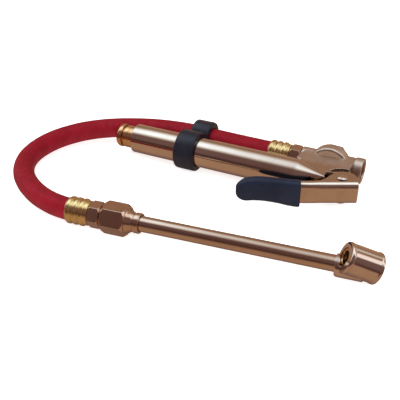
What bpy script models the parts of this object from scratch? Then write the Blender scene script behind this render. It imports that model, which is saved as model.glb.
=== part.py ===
"""Hand-held tyre inflator: a lever valve on a pencil-gauge barrel, a whip hose and a double-ended chuck.

Metres, +Z up. The barrel runs along +X towards the air inlet, the lever is on the -Y side and the hose on the +Y
side. The tool lies on z = 0. Each group of pieces is modelled in the frame of an empty that lies on its own axis.
"""

import math

import bmesh
import bpy
from mathutils import Matrix
from mathutils import Vector

# ---------------------------------------------------------------- driving dimensions

GAP = 0.0003                    # clearance between pieces that seat on each other
MERGE = 0.00001                 # merge distance of turned shapes
ROUND_STEPS = 36                # faces round a large turned piece
SMALL_STEPS = 24                # faces round a small one
NOTCH_STEPS = 64                # faces round the lever's notch

# barrel
BARREL_RADIUS = 0.0100
BARREL_LENGTH = 0.118           # from its open end to the start of the head's taper
BARREL_BORE_RADIUS = 0.0080
BARREL_BORE_DEPTH = 0.106
BARREL_EDGE = 0.0006            # chamfer of the open end
GAUGE_PORT_RADIUS = 0.0030
GAUGE_PORT_DEPTH = 0.0040

# clip that ties the hose to the barrel
CLIP_START = 0.0345
CLIP_WIDTH = 0.014
CLIP_WALL = 0.0031              # round the barrel
CLIP_HOSE_WALL = 0.0038         # round the hose
CLIP_EDGE = 0.0012
CLIP_STEP = 0.0003              # the hose's ring is this much narrower at each end
CLIP_HOSE_Y = 0.0226            # hose axis inside the clip

AXIS_HEIGHT = BARREL_RADIUS + GAP + CLIP_WALL   # the clip's ring touches the table

# head
HEAD_THICKNESS = 0.016          # between the head's two flats
HEAD_TAPER_LENGTH = 0.0198
HEAD_TAPER_END = BARREL_LENGTH + HEAD_TAPER_LENGTH  # x where the barrel's taper has become a corner
HEAD_FRONT = 0.0086             # the corner's distance in front of the barrel axis
HEAD_BACK = 0.0238              # back edge of the flats, behind the barrel axis
HEAD_LENGTH = 0.0312            # from the barrel's end to the right edge of the flats
HEAD_RIGHT = BARREL_LENGTH + HEAD_LENGTH
HEAD_ROOT = 0.0040              # the flats start this far inside the barrel
HEAD_ROOT_SUNK = 0.0012         # and this far under its surface
HEAD_EDGE_SUNK = 0.0003         # the plate's front edge, behind the taper's
HEAD_CORNER_RIGHT = 0.0080      # back corners, from the valve's axis
HEAD_CORNER_LEFT = 0.0095
HEAD_CORNER_BACK = 0.0010       # right corner, behind the ports' line
HEAD_SLOPE = 0.0030             # left edge's slope beside the port
HEAD_STEP = 0.0070              # its upright part, in front of the ports' line
NOTCH_RADIUS = 0.0110           # round notch that the lever's ears turn in
PIVOT_AHEAD = 0.0300            # of the barrel's end
PIVOT_X = BARREL_LENGTH + PIVOT_AHEAD
PIVOT_Y = -0.005
LUG_THICKNESS = 0.0110          # tongue between the ears
LUG_RADIUS = 0.0054
LUG_ROOT_RADIUS = 0.0056
LUG_ROOT_LEFT = 0.0045          # centre of the lug's root, left of the pivot
LUG_ROOT_BACK = 0.0140          # and behind it

VALVE_AHEAD = 0.0150            # of the barrel's end
VALVE_X = BARREL_LENGTH + VALVE_AHEAD

# ports, on one line behind the barrel
PORT_Y = 0.0216
PORT_BOSS_RADIUS = 0.0082
PORT_BOSS_LENGTH = 0.0188       # up to the valve's axis
PORT_BOSS_START = VALVE_X - PORT_BOSS_LENGTH
HOSE_PORT_RADIUS = 0.0056
HOSE_PORT_DEPTH = 0.0068
COLLAR_RADIUS = 0.0084
COLLAR_NECK_RADIUS = 0.0078
COLLAR_LENGTH = 0.0055
INLET_LENGTH = 0.0220           # from the valve's axis
INLET_END = VALVE_X + INLET_LENGTH
INLET_BORE_RADIUS = 0.0061
INLET_BORE_DEPTH = 0.0110
INLET_PASSAGE_RADIUS = 0.0035
PASSAGE_RADIUS = 0.0016
GAUGE_PASSAGE_RADIUS = 0.00125

# valve, on an axis that crosses the barrel's at right angles
BOSS_RADIUS = 0.0131
BOSS_FRONT = 0.0175
BOSS_BACK = 0.0265
BOSS_FILLET = 0.0022
CHAMBER_RADIUS = 0.0062
SEAT_Y = 0.0155                 # valve seat
SEAT_RADIUS = 0.0030
CAVITY_FRONT = 0.0040           # front end of the space in front of the seat
STEM_RADIUS = 0.00175
STEM_BORE_CLEARANCE = 0.0003
POPPET_RADIUS = 0.0046
POPPET_THICKNESS = 0.0017
SEAL_THICKNESS = 0.0019
STEM_TAIL_RADIUS = 0.0019
STEM_TAIL_LENGTH = 0.0024
PLUG_FLATS = 0.0180             # across the plug's flats
PLUG_HEAD = 0.0046
PLUG_THREAD_RADIUS = 0.0073
PLUG_THREAD_DEPTH = 0.0054
POPPET_PLAY = 0.0006            # round the poppet in the plug's pocket
PLUG_CROWN = 0.0018             # metal behind the plug's pocket
PLUG_GASKET_THICKNESS = 0.0008
VALVE_SPRING_RADIUS = 0.0031
VALVE_SPRING_WIRE = 0.00035
VALVE_SPRING_TURNS = 5
GUIDE_FLATS = 0.0090
GUIDE_HEAD = 0.0022
GUIDE_FRONT = -0.0118
GUIDE_THREAD_RADIUS = 0.0035
GUIDE_THREAD_LENGTH = 0.0065
STEM_SEAL_LENGTH = 0.0013
LEVER_TO_STEM = 0.0003          # free play before the lever meets the stem

# pencil gauge
PLUG_RIM_RADIUS = 0.0080
PLUG_RIM_LENGTH = 0.0038
PLUG_GROOVE_RADIUS = 0.0064
PLUG_GROOVE_LENGTH = 0.0014
PLUG_NECK_RADIUS = 0.0077
PLUG_NECK_LENGTH = 0.0075
PLUG_INSERT_LENGTH = 0.0090
BAR_WIDTH = 0.0044
BAR_BEHIND_RIM = 0.0004         # the bar's end sits this far inside the rim disc
BAR_TRAVEL = 0.050
TUBE_WALL = 0.0007
PISTON_BACK = 0.0135            # from the piston to the end of the barrel's bore
PISTON_START = BARREL_BORE_DEPTH - PISTON_BACK
PISTON_LENGTH = 0.0040
CUP_LENGTH = 0.0038
CUP_BORE = 0.0023
PISTON_STUD_RADIUS = 0.0020
PISTON_CAP_RADIUS = 0.0034
PISTON_CAP_LENGTH = 0.0012
GAUGE_GASKET_LENGTH = 0.0011
GAUGE_SPRING_RADIUS = 0.0048
GAUGE_SPRING_WIRE = 0.00045
GAUGE_SPRING_TURNS = 16

# lever: a channel, with its own frame on the pivot, +X to its tip and +Y outwards
LEVER_ANGLE = math.radians(25.3)    # between the lever and the barrel
LEVER_HEIGHT = 0.0150
LEVER_SHEET = 0.0015
LEVER_BEND = 0.0019
LEVER_TIP_HEIGHT = 0.0100
PIN_RADIUS = 0.0019
PIN_HEAD_RADIUS = 0.0034
PIN_HEAD_HEIGHT = 0.0013
PIN_TAIL = 0.0018
PIN_CLIP_RADIUS = 0.0038
PIN_CLIP_THICKNESS = 0.0009
GRIP_START = 0.0262             # distance of the grip's open end from the pivot
GRIP_WALL = 0.0014

# hose and its fittings
HOSE_RADIUS = 0.0069
HOSE_BORE_RADIUS = 0.0036
HOSE_BEVEL_RESOLUTION = 4
FERRULE_WALL = 0.0006
FERRULE_RIB = 0.0006
FERRULE_LENGTH = 0.0146
FERRULE_RIBS = 3
BARB_RADIUS = 0.0033
FITTING_FLATS = 0.0145
FITTING_HEX_LENGTH = 0.0078
FITTING_THREAD_RADIUS = 0.0053
FITTING_THREAD_LENGTH = 0.0062
FITTING_BORE_RADIUS = 0.0018

# chuck: its own frame starts at the front ferrule's open end, +X along the tube
CHUCK_X = 0.0048
CHUCK_Y = -0.0908
CHUCK_YAW = math.radians(6.0)
COUPLING_FLATS = 0.0175
COUPLING_HEX_LENGTH = 0.0157
COUPLING_CONE_LENGTH = 0.0050
COUPLING_COLLAR_LENGTH = 0.0034
COUPLING_COLLAR_RADIUS = 0.0062
COUPLING_SOCKET_DEPTH = 0.0070
CHUCK_HEIGHT = COUPLING_FLATS / 2   # the coupling lies on one of its flats
TUBE_RADIUS = 0.00475
TUBE_BORE_RADIUS = 0.0030
TUBE_FREE_LENGTH = 0.1130       # from the coupling's collar to the head's neck

# chuck head: a cylinder with a mouth at each end, set across the end of the tube
FOOT_RADIUS = 0.0088
FOOT_LENGTH = 0.0196
FOOT_LIP = 0.0016
FOOT_LIP_HEIGHT = 0.0003
FOOT_DROP = math.radians(22.9)  # its front mouth points down
FOOT_SWING = math.radians(18.7)     # and away from the lever's side
FOOT_AHEAD = 0.0140             # middle of the cylinder, ahead of the neck's start
FOOT_ASIDE = 0.00055
FOOT_ABOVE = 0.0033
FOOT_BORE_RADIUS = 0.0054
CHAMBER_HALF = 0.0026           # half length of the room between the two grommets
FOOT_CHAMBER_RADIUS = 0.0046
GROMMET_THICKNESS = 0.0021
GROMMET_HOLE = 0.0019
RETAINER_HOLE = 0.0043
RETAINER_RECESS = 0.0004
SHUTTLE_RADIUS = 0.0013
SHUTTLE_FLANGE_RADIUS = 0.0038
SHUTTLE_FLANGE = 0.0016
SHUTTLE_PIN = 0.0008            # how far each pin stands out of its grommet
NECK_RADIUS = 0.0064
NECK_LENGTH = 0.0150
NECK_DROP = 0.0009
NECK_EDGE = 0.0016
NECK_LIP = 0.0006               # wall round the tube where the neck starts
TUBE_SOCKET_DEPTH = 0.0024
FOOT_PASSAGE_DROP = 0.00175

# colours, roughness and metal of each finish
FINISHES = {
    "chrome": ((0.62, 0.50, 0.44), 0.12, 1.0),
    "brass": ((0.69, 0.50, 0.25), 0.25, 1.0),
    "bronzed": ((0.36, 0.20, 0.16), 0.30, 1.0),
    "steel": ((0.60, 0.60, 0.60), 0.30, 1.0),
    "black_plastic": ((0.028, 0.024, 0.024), 0.45, 0.0),
    "vinyl": ((0.017, 0.020, 0.036), 0.50, 0.0),
    "red_rubber": ((0.30, 0.020, 0.030), 0.50, 0.0),
    "black_rubber": ((0.020, 0.020, 0.020), 0.70, 0.0),
    "white_nylon": ((0.80, 0.79, 0.74), 0.45, 0.0),
    "fibre": ((0.32, 0.06, 0.04), 0.70, 0.0),
}

# the hose's route: along the barrel, round a loop and into the front ferrule
HOSE_ROUTE = [
    (0.0750, 0.0217), (0.0638, 0.0219), (0.0527, 0.0222), (0.0415, 0.0226), (0.0303, 0.0227),
    (0.0191, 0.0221), (0.0081, 0.0208), (-0.0029, 0.0186), (-0.0136, 0.0157), (-0.0241, 0.0118),
    (-0.0341, 0.0069), (-0.0432, 0.0005), (-0.0508, -0.0076), (-0.0564, -0.0173), (-0.0595, -0.0280),
    (-0.0599, -0.0391), (-0.0576, -0.0500), (-0.0527, -0.0600), (-0.0457, -0.0687), (-0.0372, -0.0759),
    (-0.0278, -0.0819), (-0.0176, -0.0867), (-0.0069, -0.0898),
]
HOSE_HEIGHTS = [
    1.00, 1.00, 1.00, 1.00, 1.00, 0.98, 0.95, 0.91, 0.86, 0.81, 0.75, 0.69, 0.63, 0.59, 0.56, 0.55, 0.55, 0.55,
    0.56, 0.57, 0.59, 0.62, 0.64,
]   # of the barrel axis's height, at each point of the route
HOSE_SAMPLES = 60


# ---------------------------------------------------------------- scene and helpers

def clear_scene():
    for old in list(bpy.data.objects):
        bpy.data.objects.remove(old, do_unlink=True)


def new_collection(name):
    made = bpy.data.collections.new(name)
    bpy.context.scene.collection.children.link(made)
    return made


def finish(name):
    """The material of one finish, made once."""
    if name in bpy.data.materials:
        return bpy.data.materials[name]
    colour, roughness, metallic = FINISHES[name]
    made = bpy.data.materials.new(name)
    made.use_nodes = True
    shader = made.node_tree.nodes["Principled BSDF"]
    shader.inputs["Base Color"].default_value = (*colour, 1.0)
    shader.inputs["Roughness"].default_value = roughness
    shader.inputs["Metallic"].default_value = metallic
    return made


def empty(name, parent=None, at=(0, 0, 0), turn=(0, 0, 0)):
    """A frame for a group of pieces."""
    made = bpy.data.objects.new(name, None)
    made.empty_display_size = 0.01
    made.parent = parent
    made.location = at
    made.rotation_euler = turn
    PARTS.objects.link(made)
    return made


def piece(name, mesh_or_curve, parent, finish_name, at=(0, 0, 0), turn=(0, 0, 0)):
    """A named piece of the tool, in its parent's frame."""
    made = bpy.data.objects.new(name, mesh_or_curve)
    made.parent = parent
    made.location = at
    made.rotation_euler = turn
    mesh_or_curve.materials.clear()
    mesh_or_curve.materials.append(finish(finish_name))
    PARTS.objects.link(made)
    return made


def tool(name, mesh, parent, at=(0, 0, 0), turn=(0, 0, 0)):
    """A shape that is only joined to a piece or cut from it."""
    made = bpy.data.objects.new(name, mesh)
    made.parent = parent
    made.location = at
    made.rotation_euler = turn
    made.hide_render = True
    made.display_type = "WIRE"
    TOOLS.objects.link(made)
    return made


def combine(target, other, operation):
    step = target.modifiers.new(operation.lower() + " " + other.name, "BOOLEAN")
    step.operation = operation
    step.solver = "EXACT"
    step.object = other


def join(target, *others):
    for other in others:
        combine(target, other, "UNION")


def cut(target, *others):
    for other in others:
        combine(target, other, "DIFFERENCE")


def smooth(mesh):
    mesh.shade_smooth()
    mesh.set_sharp_from_angle(angle=math.radians(35))
    return mesh


def screw(made, steps):
    turn = made.modifiers.new("turn", "SCREW")
    turn.steps = steps
    turn.render_steps = steps
    turn.use_merge_vertices = True
    turn.merge_threshold = MERGE


def profile(name, outer, inner=()):
    """Half section of a turned piece about local Z.

    outer and inner list (along, radius) from the low end to the high end. Without inner, the piece is solid.
    """
    down = [(radius, along) for along, radius in reversed(outer)]
    if inner:
        points = down + [(radius, along) for along, radius in inner]
    else:
        points = [(0.0, outer[-1][0])] + down + [(0.0, outer[0][0])]
    mesh = bpy.data.meshes.new(name)
    edges = [(i, i + 1) for i in range(len(points) - 1)]
    if inner:
        edges.append((len(points) - 1, 0))
    mesh.from_pydata([(radius, 0.0, along) for radius, along in points], edges, [])
    return mesh


def turned(name, parent, finish_name, outer, inner=(), steps=SMALL_STEPS, at=(0, 0, 0)):
    made = piece(name, profile(name, outer, inner), parent, finish_name, at=at)
    screw(made, steps)
    return made


def turned_tool(name, parent, outer, inner=(), steps=SMALL_STEPS, at=(0, 0, 0), turn=(0, 0, 0)):
    made = tool(name, profile(name, outer, inner), parent, at=at, turn=turn)
    screw(made, steps)
    return made


def drill(name, parent, start, end, radius, steps=SMALL_STEPS, at=(0, 0, 0), turn=(0, 0, 0)):
    """A straight hole along local Z, from start to end."""
    return turned_tool(name, parent, [(start, radius), (end, radius)], steps=steps, at=at, turn=turn)


def stepped_drill(name, parent, steps_along, steps=SMALL_STEPS):
    """A stepped hole along local Z: (start, end, radius) of each step, in order."""
    outer = []
    for start, end, radius in steps_along:
        outer += [(start, radius), (end, radius)]
    return turned_tool(name, parent, outer, steps=steps)


def slanted_drill(name, parent, start, end, radius, steps=SMALL_STEPS):
    """A straight hole between two points."""
    way = Vector(end) - Vector(start)
    turn = way.to_track_quat("Z", "Y").to_euler()
    return drill(name, parent, 0.0, way.length, radius, steps, at=start, turn=turn)


def arc(centre, radius, start, end, steps):
    """Points of an arc, with angles in degrees."""
    points = []
    for i in range(steps + 1):
        angle = math.radians(start + (end - start) * i / steps)
        points.append((centre[0] + radius * math.cos(angle), centre[1] + radius * math.sin(angle)))
    return points


def slab_mesh(name, outline, low, high):
    """The mesh of a flat outline, extruded along Z from low to high."""
    curve = bpy.data.curves.new(name, "CURVE")
    curve.dimensions = "2D"
    curve.fill_mode = "BOTH"
    curve.extrude = (high - low) / 2
    line = curve.splines.new("POLY")
    line.points.add(len(outline) - 1)
    for point, (x, y) in zip(line.points, outline):
        point.co = (x, y, 0.0, 1.0)
    line.use_cyclic_u = True
    flat = bpy.data.objects.new(name, curve)
    bpy.context.scene.collection.objects.link(flat)
    depsgraph = bpy.context.evaluated_depsgraph_get()
    mesh = bpy.data.meshes.new_from_object(flat.evaluated_get(depsgraph))
    bpy.data.objects.remove(flat)
    edit = bmesh.new()
    edit.from_mesh(mesh)
    bmesh.ops.remove_doubles(edit, verts=edit.verts, dist=MERGE)
    bmesh.ops.translate(edit, verts=edit.verts, vec=(0.0, 0.0, (low + high) / 2))
    bmesh.ops.recalc_face_normals(edit, faces=edit.faces)
    edit.to_mesh(mesh)
    edit.free()
    return mesh


def hull_mesh(name, points):
    """The mesh of the convex hull of some points."""
    edit = bmesh.new()
    for point in points:
        edit.verts.new(point)
    made = bmesh.ops.convex_hull(edit, input=edit.verts)
    inside = {part for part in made["geom_interior"] + made["geom_unused"] if isinstance(part, bmesh.types.BMVert)}
    bmesh.ops.delete(edit, geom=list(inside), context="VERTS")
    bmesh.ops.recalc_face_normals(edit, faces=edit.faces)
    mesh = bpy.data.meshes.new(name)
    edit.to_mesh(mesh)
    edit.free()
    return mesh


def loft_mesh(name, rings, closed=True):
    """A skin over a row of rings of the same number of points, with both ends capped if closed."""
    edit = bmesh.new()
    rows = [[edit.verts.new(point) for point in ring] for ring in rings]
    count = len(rows[0])
    wrap = count if closed else count - 1
    for low, high in zip(rows, rows[1:]):
        for i in range(wrap):
            j = (i + 1) % count
            edit.faces.new((low[i], low[j], high[j], high[i]))
    if closed:
        edit.faces.new(list(reversed(rows[0])))
        edit.faces.new(rows[-1])
        bmesh.ops.recalc_face_normals(edit, faces=edit.faces)
    mesh = bpy.data.meshes.new(name)
    edit.to_mesh(mesh)
    edit.free()
    return mesh


def corner_radius(flats):
    """Radius of a hexagon's corners, from its size across flats."""
    return flats / 2 / math.cos(math.radians(30))


def hexagon_mesh(name, flats, low, high, turn=0):
    """A hexagonal bar along Z, with two of its flats across X before it is turned by some degrees."""
    bpy.ops.mesh.primitive_cylinder_add(vertices=6, radius=corner_radius(flats), depth=high - low)
    bar = bpy.context.object
    mesh = bar.data
    mesh.name = name
    bpy.data.objects.remove(bar)
    edit = bmesh.new()
    edit.from_mesh(mesh)
    bmesh.ops.rotate(edit, verts=edit.verts, matrix=Matrix.Rotation(math.radians(turn), 3, "Z"))
    bmesh.ops.translate(edit, verts=edit.verts, vec=(0, 0, (low + high) / 2))
    edit.to_mesh(mesh)
    edit.free()
    return mesh


def chamfer_ring(name, parent, flats, low, high, chamfer, at=(0, 0, 0)):
    """The turned shape that a hexagon's chamfered corners lie on."""
    corner = corner_radius(flats)
    flat = flats / 2
    outer = [(low, flat), (low + chamfer, corner + MERGE), (high - chamfer, corner + MERGE), (high, flat)]
    return turned_tool(name, parent, outer, steps=ROUND_STEPS, at=at)


def coil_curve(name, radius, wire, low, high, turns):
    """A coil spring along local Z between low and high, ends included."""
    curve = bpy.data.curves.new(name, "CURVE")
    curve.dimensions = "3D"
    curve.bevel_depth = wire
    curve.bevel_resolution = 1
    curve.use_fill_caps = True
    curve.render_resolution_u = 0
    per_turn = 10
    count = turns * per_turn
    line = curve.splines.new("POLY")
    line.points.add(count)
    start = low + wire
    rise = high - low - 2 * wire
    for i, point in enumerate(line.points):
        angle = 2 * math.pi * i / per_turn
        along = start + rise * i / count
        point.co = (radius * math.cos(angle), radius * math.sin(angle), along, 1.0)
    return curve


def smooth_route(points, samples):
    """Points at even steps along a smooth curve through the given ones (Catmull-Rom)."""
    points = [Vector(p) for p in points]
    padded = [2 * points[0] - points[1]] + points + [2 * points[-1] - points[-2]]
    fine = []
    per_span = 12
    for a, b, c, d in zip(padded, padded[1:], padded[2:], padded[3:]):
        for i in range(per_span):
            t = i / per_span
            fine.append(0.5 * (2 * b + (c - a) * t + (2 * a - 5 * b + 4 * c - d) * t * t
                               + (3 * b - a - 3 * c + d) * t ** 3))
    fine.append(points[-1])
    lengths = [0.0]
    for a, b in zip(fine, fine[1:]):
        lengths.append(lengths[-1] + (b - a).length)
    even = []
    k = 0
    for i in range(samples):
        target = lengths[-1] * i / (samples - 1)
        while k < len(fine) - 2 and lengths[k + 1] < target:
            k += 1
        share = (target - lengths[k]) / (lengths[k + 1] - lengths[k])
        even.append(fine[k].lerp(fine[k + 1], min(share, 1.0)))
    return even


# ---------------------------------------------------------------- valve body

TOWARDS_X = (0, math.radians(90), 0)    # turns local Z to +X
TOWARDS_Y = (math.radians(-90), 0, 0)   # turns local Z to +Y


def head_outline():
    """Plan of the head between its flats, before the notch round the pivot is cut."""
    left = PORT_BOSS_START + GAP
    return [
        (BARREL_LENGTH - HEAD_ROOT, BARREL_RADIUS - HEAD_ROOT_SUNK),
        (HEAD_TAPER_END, HEAD_EDGE_SUNK - HEAD_FRONT),
        (HEAD_RIGHT, HEAD_EDGE_SUNK - HEAD_FRONT),
        (HEAD_RIGHT, PORT_Y + HEAD_CORNER_BACK),
        (VALVE_X + HEAD_CORNER_RIGHT, HEAD_BACK),
        (VALVE_X - HEAD_CORNER_LEFT, HEAD_BACK),
        (left + HEAD_SLOPE, PORT_Y),
        (left, PORT_Y - HEAD_STEP),
        (left, BARREL_RADIUS - HEAD_ROOT_SUNK / 2),
    ]


def taper_points():
    """Two rings just inside the barrel's end, and the upright edge that the taper runs out into."""
    points = []
    for back, sunk in ((0.002, 0.0001), (0.0, 0.00003)):
        radius = BARREL_RADIUS - sunk
        for i in range(ROUND_STEPS):
            angle = 2 * math.pi * (i + 0.5) / ROUND_STEPS
            points.append((BARREL_LENGTH - back, radius * math.sin(angle), radius * math.cos(angle)))
    half = HEAD_THICKNESS / 2 - 0.00005
    for y in (-HEAD_FRONT, -HEAD_FRONT + 0.002):
        points += [(HEAD_TAPER_END, y, -half), (HEAD_TAPER_END, y, half)]
    return points


def lug_mesh():
    """The tongue that carries the pin: hull of the pin's boss and of a wider root inside the head."""
    half = LUG_THICKNESS / 2
    root = (PIVOT_X - LUG_ROOT_LEFT, PIVOT_Y + LUG_ROOT_BACK)
    rim = arc((PIVOT_X, PIVOT_Y), LUG_RADIUS, 0, 350, 35) + arc(root, LUG_ROOT_RADIUS, 0, 350, 35)
    return hull_mesh("lug", [(x, y, z) for x, y in rim for z in (-half, half)])


def valve_body():
    """Barrel, head, valve boss, ports and lug as one forging, with its drilled passages."""
    edge = BARREL_EDGE
    outer = [(0.0, BARREL_RADIUS - edge), (edge, BARREL_RADIUS), (BARREL_LENGTH, BARREL_RADIUS)]
    body = turned("valve_body", BARREL, "chrome", outer, steps=ROUND_STEPS)
    half = HEAD_THICKNESS / 2
    join(body, tool("taper", hull_mesh("taper", taper_points()), PLAN))
    join(body, tool("head_plate", slab_mesh("head_plate", head_outline(), -half, half), PLAN))

    boss = [
        (BOSS_FRONT, BOSS_RADIUS),
        (BOSS_BACK - BOSS_FILLET, BOSS_RADIUS),
        (BOSS_BACK - BOSS_FILLET * 0.35, BOSS_RADIUS - BOSS_FILLET * 0.35),
        (BOSS_BACK, BOSS_RADIUS - BOSS_FILLET),
    ]
    join(body, turned_tool("valve_boss", VALVE, boss, steps=ROUND_STEPS))
    port = [(PORT_BOSS_START, PORT_BOSS_RADIUS - edge), (PORT_BOSS_START + edge, PORT_BOSS_RADIUS),
            (VALVE_X - corner_radius(PLUG_FLATS) - GAP, PORT_BOSS_RADIUS)]
    join(body, turned_tool("port_boss", PORT, port, steps=ROUND_STEPS))
    collar_start = INLET_END - COLLAR_LENGTH
    collar = [
        (VALVE_X + corner_radius(PLUG_FLATS) + GAP, COLLAR_NECK_RADIUS),
        (collar_start - edge, COLLAR_NECK_RADIUS),
        (collar_start, COLLAR_RADIUS),
        (INLET_END - edge, COLLAR_RADIUS),
        (INLET_END, COLLAR_RADIUS - edge),
    ]
    join(body, turned_tool("inlet_collar", PORT, collar, steps=ROUND_STEPS))
    cut(body, drill("notch", PLAN, -2 * BARREL_RADIUS, 2 * BARREL_RADIUS, NOTCH_RADIUS, steps=NOTCH_STEPS,
                    at=(PIVOT_X, PIVOT_Y, 0)))
    join(body, tool("lug", lug_mesh(), PLAN))

    past = 0.001
    gauge_port = BARREL_BORE_DEPTH + GAUGE_PORT_DEPTH
    hose_port = PORT_BOSS_START + HOSE_PORT_DEPTH
    inlet_step = INLET_END - INLET_BORE_DEPTH
    stem_seal = STEM_SEAL_END + GAP
    plug_thread = BOSS_BACK - PLUG_THREAD_DEPTH
    cut(
        body,
        stepped_drill("barrel_bore", BARREL, [
            (-past, BARREL_BORE_DEPTH, BARREL_BORE_RADIUS),
            (BARREL_BORE_DEPTH, gauge_port, GAUGE_PORT_RADIUS),
        ], steps=ROUND_STEPS),
        stepped_drill("valve_bore", VALVE, [
            (GUIDE_FRONT, stem_seal, GUIDE_THREAD_RADIUS + GAP),
            (stem_seal, CAVITY_FRONT, STEM_RADIUS + STEM_BORE_CLEARANCE),
            (CAVITY_FRONT, SEAT_Y, SEAT_RADIUS),
            (SEAT_Y, plug_thread, CHAMBER_RADIUS),
            (plug_thread, BOSS_BACK + past, PLUG_THREAD_RADIUS + GAP),
        ]),
        slanted_drill("gauge_passage", PLAN, (gauge_port - 0.002, 0, 0), (VALVE_X, CAVITY_FRONT + 0.003, 0),
                      GAUGE_PASSAGE_RADIUS, steps=12),
        drill("hose_port", PORT, PORT_BOSS_START - past, hose_port, HOSE_PORT_RADIUS),
        slanted_drill("hose_passage", PLAN, (hose_port - 0.003, PORT_Y, 0), (VALVE_X - 0.001, CAVITY_FRONT + 0.003, 0),
                      PASSAGE_RADIUS, steps=16),
        stepped_drill("inlet_bore", PORT, [
            (VALVE_X, inlet_step, INLET_PASSAGE_RADIUS),
            (inlet_step, INLET_END + past, INLET_BORE_RADIUS),
        ]),
        drill("pin_hole", PLAN, -LUG_THICKNESS, LUG_THICKNESS, PIN_RADIUS + GAP, at=(PIVOT_X, PIVOT_Y, 0)),
    )
    smooth(body.data)
    return body


def inlet_screen():
    """Dished gauze disc that sits on the step at the inner end of the inlet."""
    seat = INLET_END - INLET_BORE_DEPTH + GAP
    rim = INLET_BORE_RADIUS - GAP
    outer = [(seat, rim), (seat + 0.0010, rim), (seat + 0.0012, rim - 0.0015), (seat + 0.0026, rim - 0.0035)]
    inner = [(seat, rim - 0.0012), (seat + 0.0008, rim - 0.0020), (seat + 0.0020, rim - 0.0041)]
    outer.append((seat + 0.0026, 0.0004))
    inner.append((seat + 0.0020, 0.0004))
    turned("inlet_screen", PORT, "steel", outer, inner)


# ---------------------------------------------------------------- pencil gauge

def gauge_end_plug():
    """Brass plug: rim disc, groove, neck and the threaded part inside the barrel, bored for the bar."""
    neck = -GAP
    groove = -PLUG_NECK_LENGTH
    rim = groove - PLUG_GROOVE_LENGTH
    end = rim - PLUG_RIM_LENGTH
    bore = BAR_WIDTH / 2 * math.sqrt(2) + GAP
    outer = [
        (end, PLUG_RIM_RADIUS - 0.0012),
        (end + 0.0005, PLUG_RIM_RADIUS - 0.0003),
        (end + 0.0012, PLUG_RIM_RADIUS),
        (rim - 0.0006, PLUG_RIM_RADIUS),
        (rim, PLUG_RIM_RADIUS - 0.0005),
        (rim, PLUG_GROOVE_RADIUS),
        (groove, PLUG_GROOVE_RADIUS),
        (groove, PLUG_NECK_RADIUS - 0.0004),
        (groove + 0.0005, PLUG_NECK_RADIUS),
        (neck, PLUG_NECK_RADIUS),
        (PLUG_INSERT_LENGTH, BARREL_BORE_RADIUS - GAP),
    ]
    turned("gauge_end_plug", BARREL, "brass", outer, [(end, bore), (PLUG_INSERT_LENGTH, bore)], steps=ROUND_STEPS)


def gauge_tube():
    start = PLUG_INSERT_LENGTH + GAP
    end = BARREL_BORE_DEPTH - GAUGE_GASKET_LENGTH - 2 * GAP
    outside = BARREL_BORE_RADIUS - GAP
    inside = outside - TUBE_WALL
    turned("gauge_tube", BARREL, "brass", [(start, outside), (end, outside)], [(start, inside), (end, inside)],
           steps=ROUND_STEPS)
    ring_end = BARREL_BORE_DEPTH - GAP
    ring_start = ring_end - GAUGE_GASKET_LENGTH
    turned("gauge_gasket", BARREL, "black_rubber", [(ring_start, outside), (ring_end, outside)],
           [(ring_start, 0.0045), (ring_end, 0.0045)])


def gauge_bar():
    """The graduated bar, square in section, which reaches from the rim disc to the piston."""
    outer_end = BAR_BEHIND_RIM - PLUG_NECK_LENGTH - PLUG_GROOVE_LENGTH - PLUG_RIM_LENGTH
    length = PISTON_START - GAP - outer_end
    bpy.ops.mesh.primitive_cube_add(size=1.0)
    cube = bpy.context.object
    mesh = cube.data
    bpy.data.objects.remove(cube)
    edit = bmesh.new()
    edit.from_mesh(mesh)
    bmesh.ops.scale(edit, verts=edit.verts, vec=(BAR_WIDTH, BAR_WIDTH, length))
    edit.to_mesh(mesh)
    edit.free()
    bar = piece("indicator_bar", mesh, BARREL, "white_nylon", at=(0, 0, outer_end + length / 2))
    soften = bar.modifiers.new("edges", "BEVEL")
    soften.width = 0.0004
    soften.segments = 2


def gauge_piston():
    inside = BARREL_BORE_RADIUS - GAP - TUBE_WALL
    face = PISTON_START + PISTON_LENGTH
    cup_end = face + GAP + CUP_LENGTH
    cap = cup_end + GAP
    outer = [
        (PISTON_START, inside - 2 * GAP),
        (face, inside - 2 * GAP),
        (face, PISTON_STUD_RADIUS),
        (cap, PISTON_STUD_RADIUS),
        (cap, PISTON_CAP_RADIUS),
        (cap + PISTON_CAP_LENGTH, PISTON_CAP_RADIUS - 0.0003),
    ]
    turned("gauge_piston", BARREL, "brass", outer)
    cup = [(face + GAP, inside - GAP - 0.0004), (cup_end - 0.0012, inside - GAP), (cup_end + 0.0010, inside - GAP)]
    hollow = [
        (face + GAP, CUP_BORE),
        (cup_end, CUP_BORE),
        (cup_end, PISTON_CAP_RADIUS + GAP),
        (cup_end - 0.0010, PISTON_CAP_RADIUS + 2 * GAP),
        (cup_end + 0.0010, inside - GAP - 0.0009),
    ]
    turned("piston_cup", BARREL, "black_rubber", cup, hollow)


def gauge_spring():
    curve = coil_curve("gauge_spring", GAUGE_SPRING_RADIUS, GAUGE_SPRING_WIRE, PLUG_INSERT_LENGTH + GAP,
                       PISTON_START - GAP, GAUGE_SPRING_TURNS)
    piece("gauge_spring", curve, BARREL, "steel")


# ---------------------------------------------------------------- valve

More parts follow.
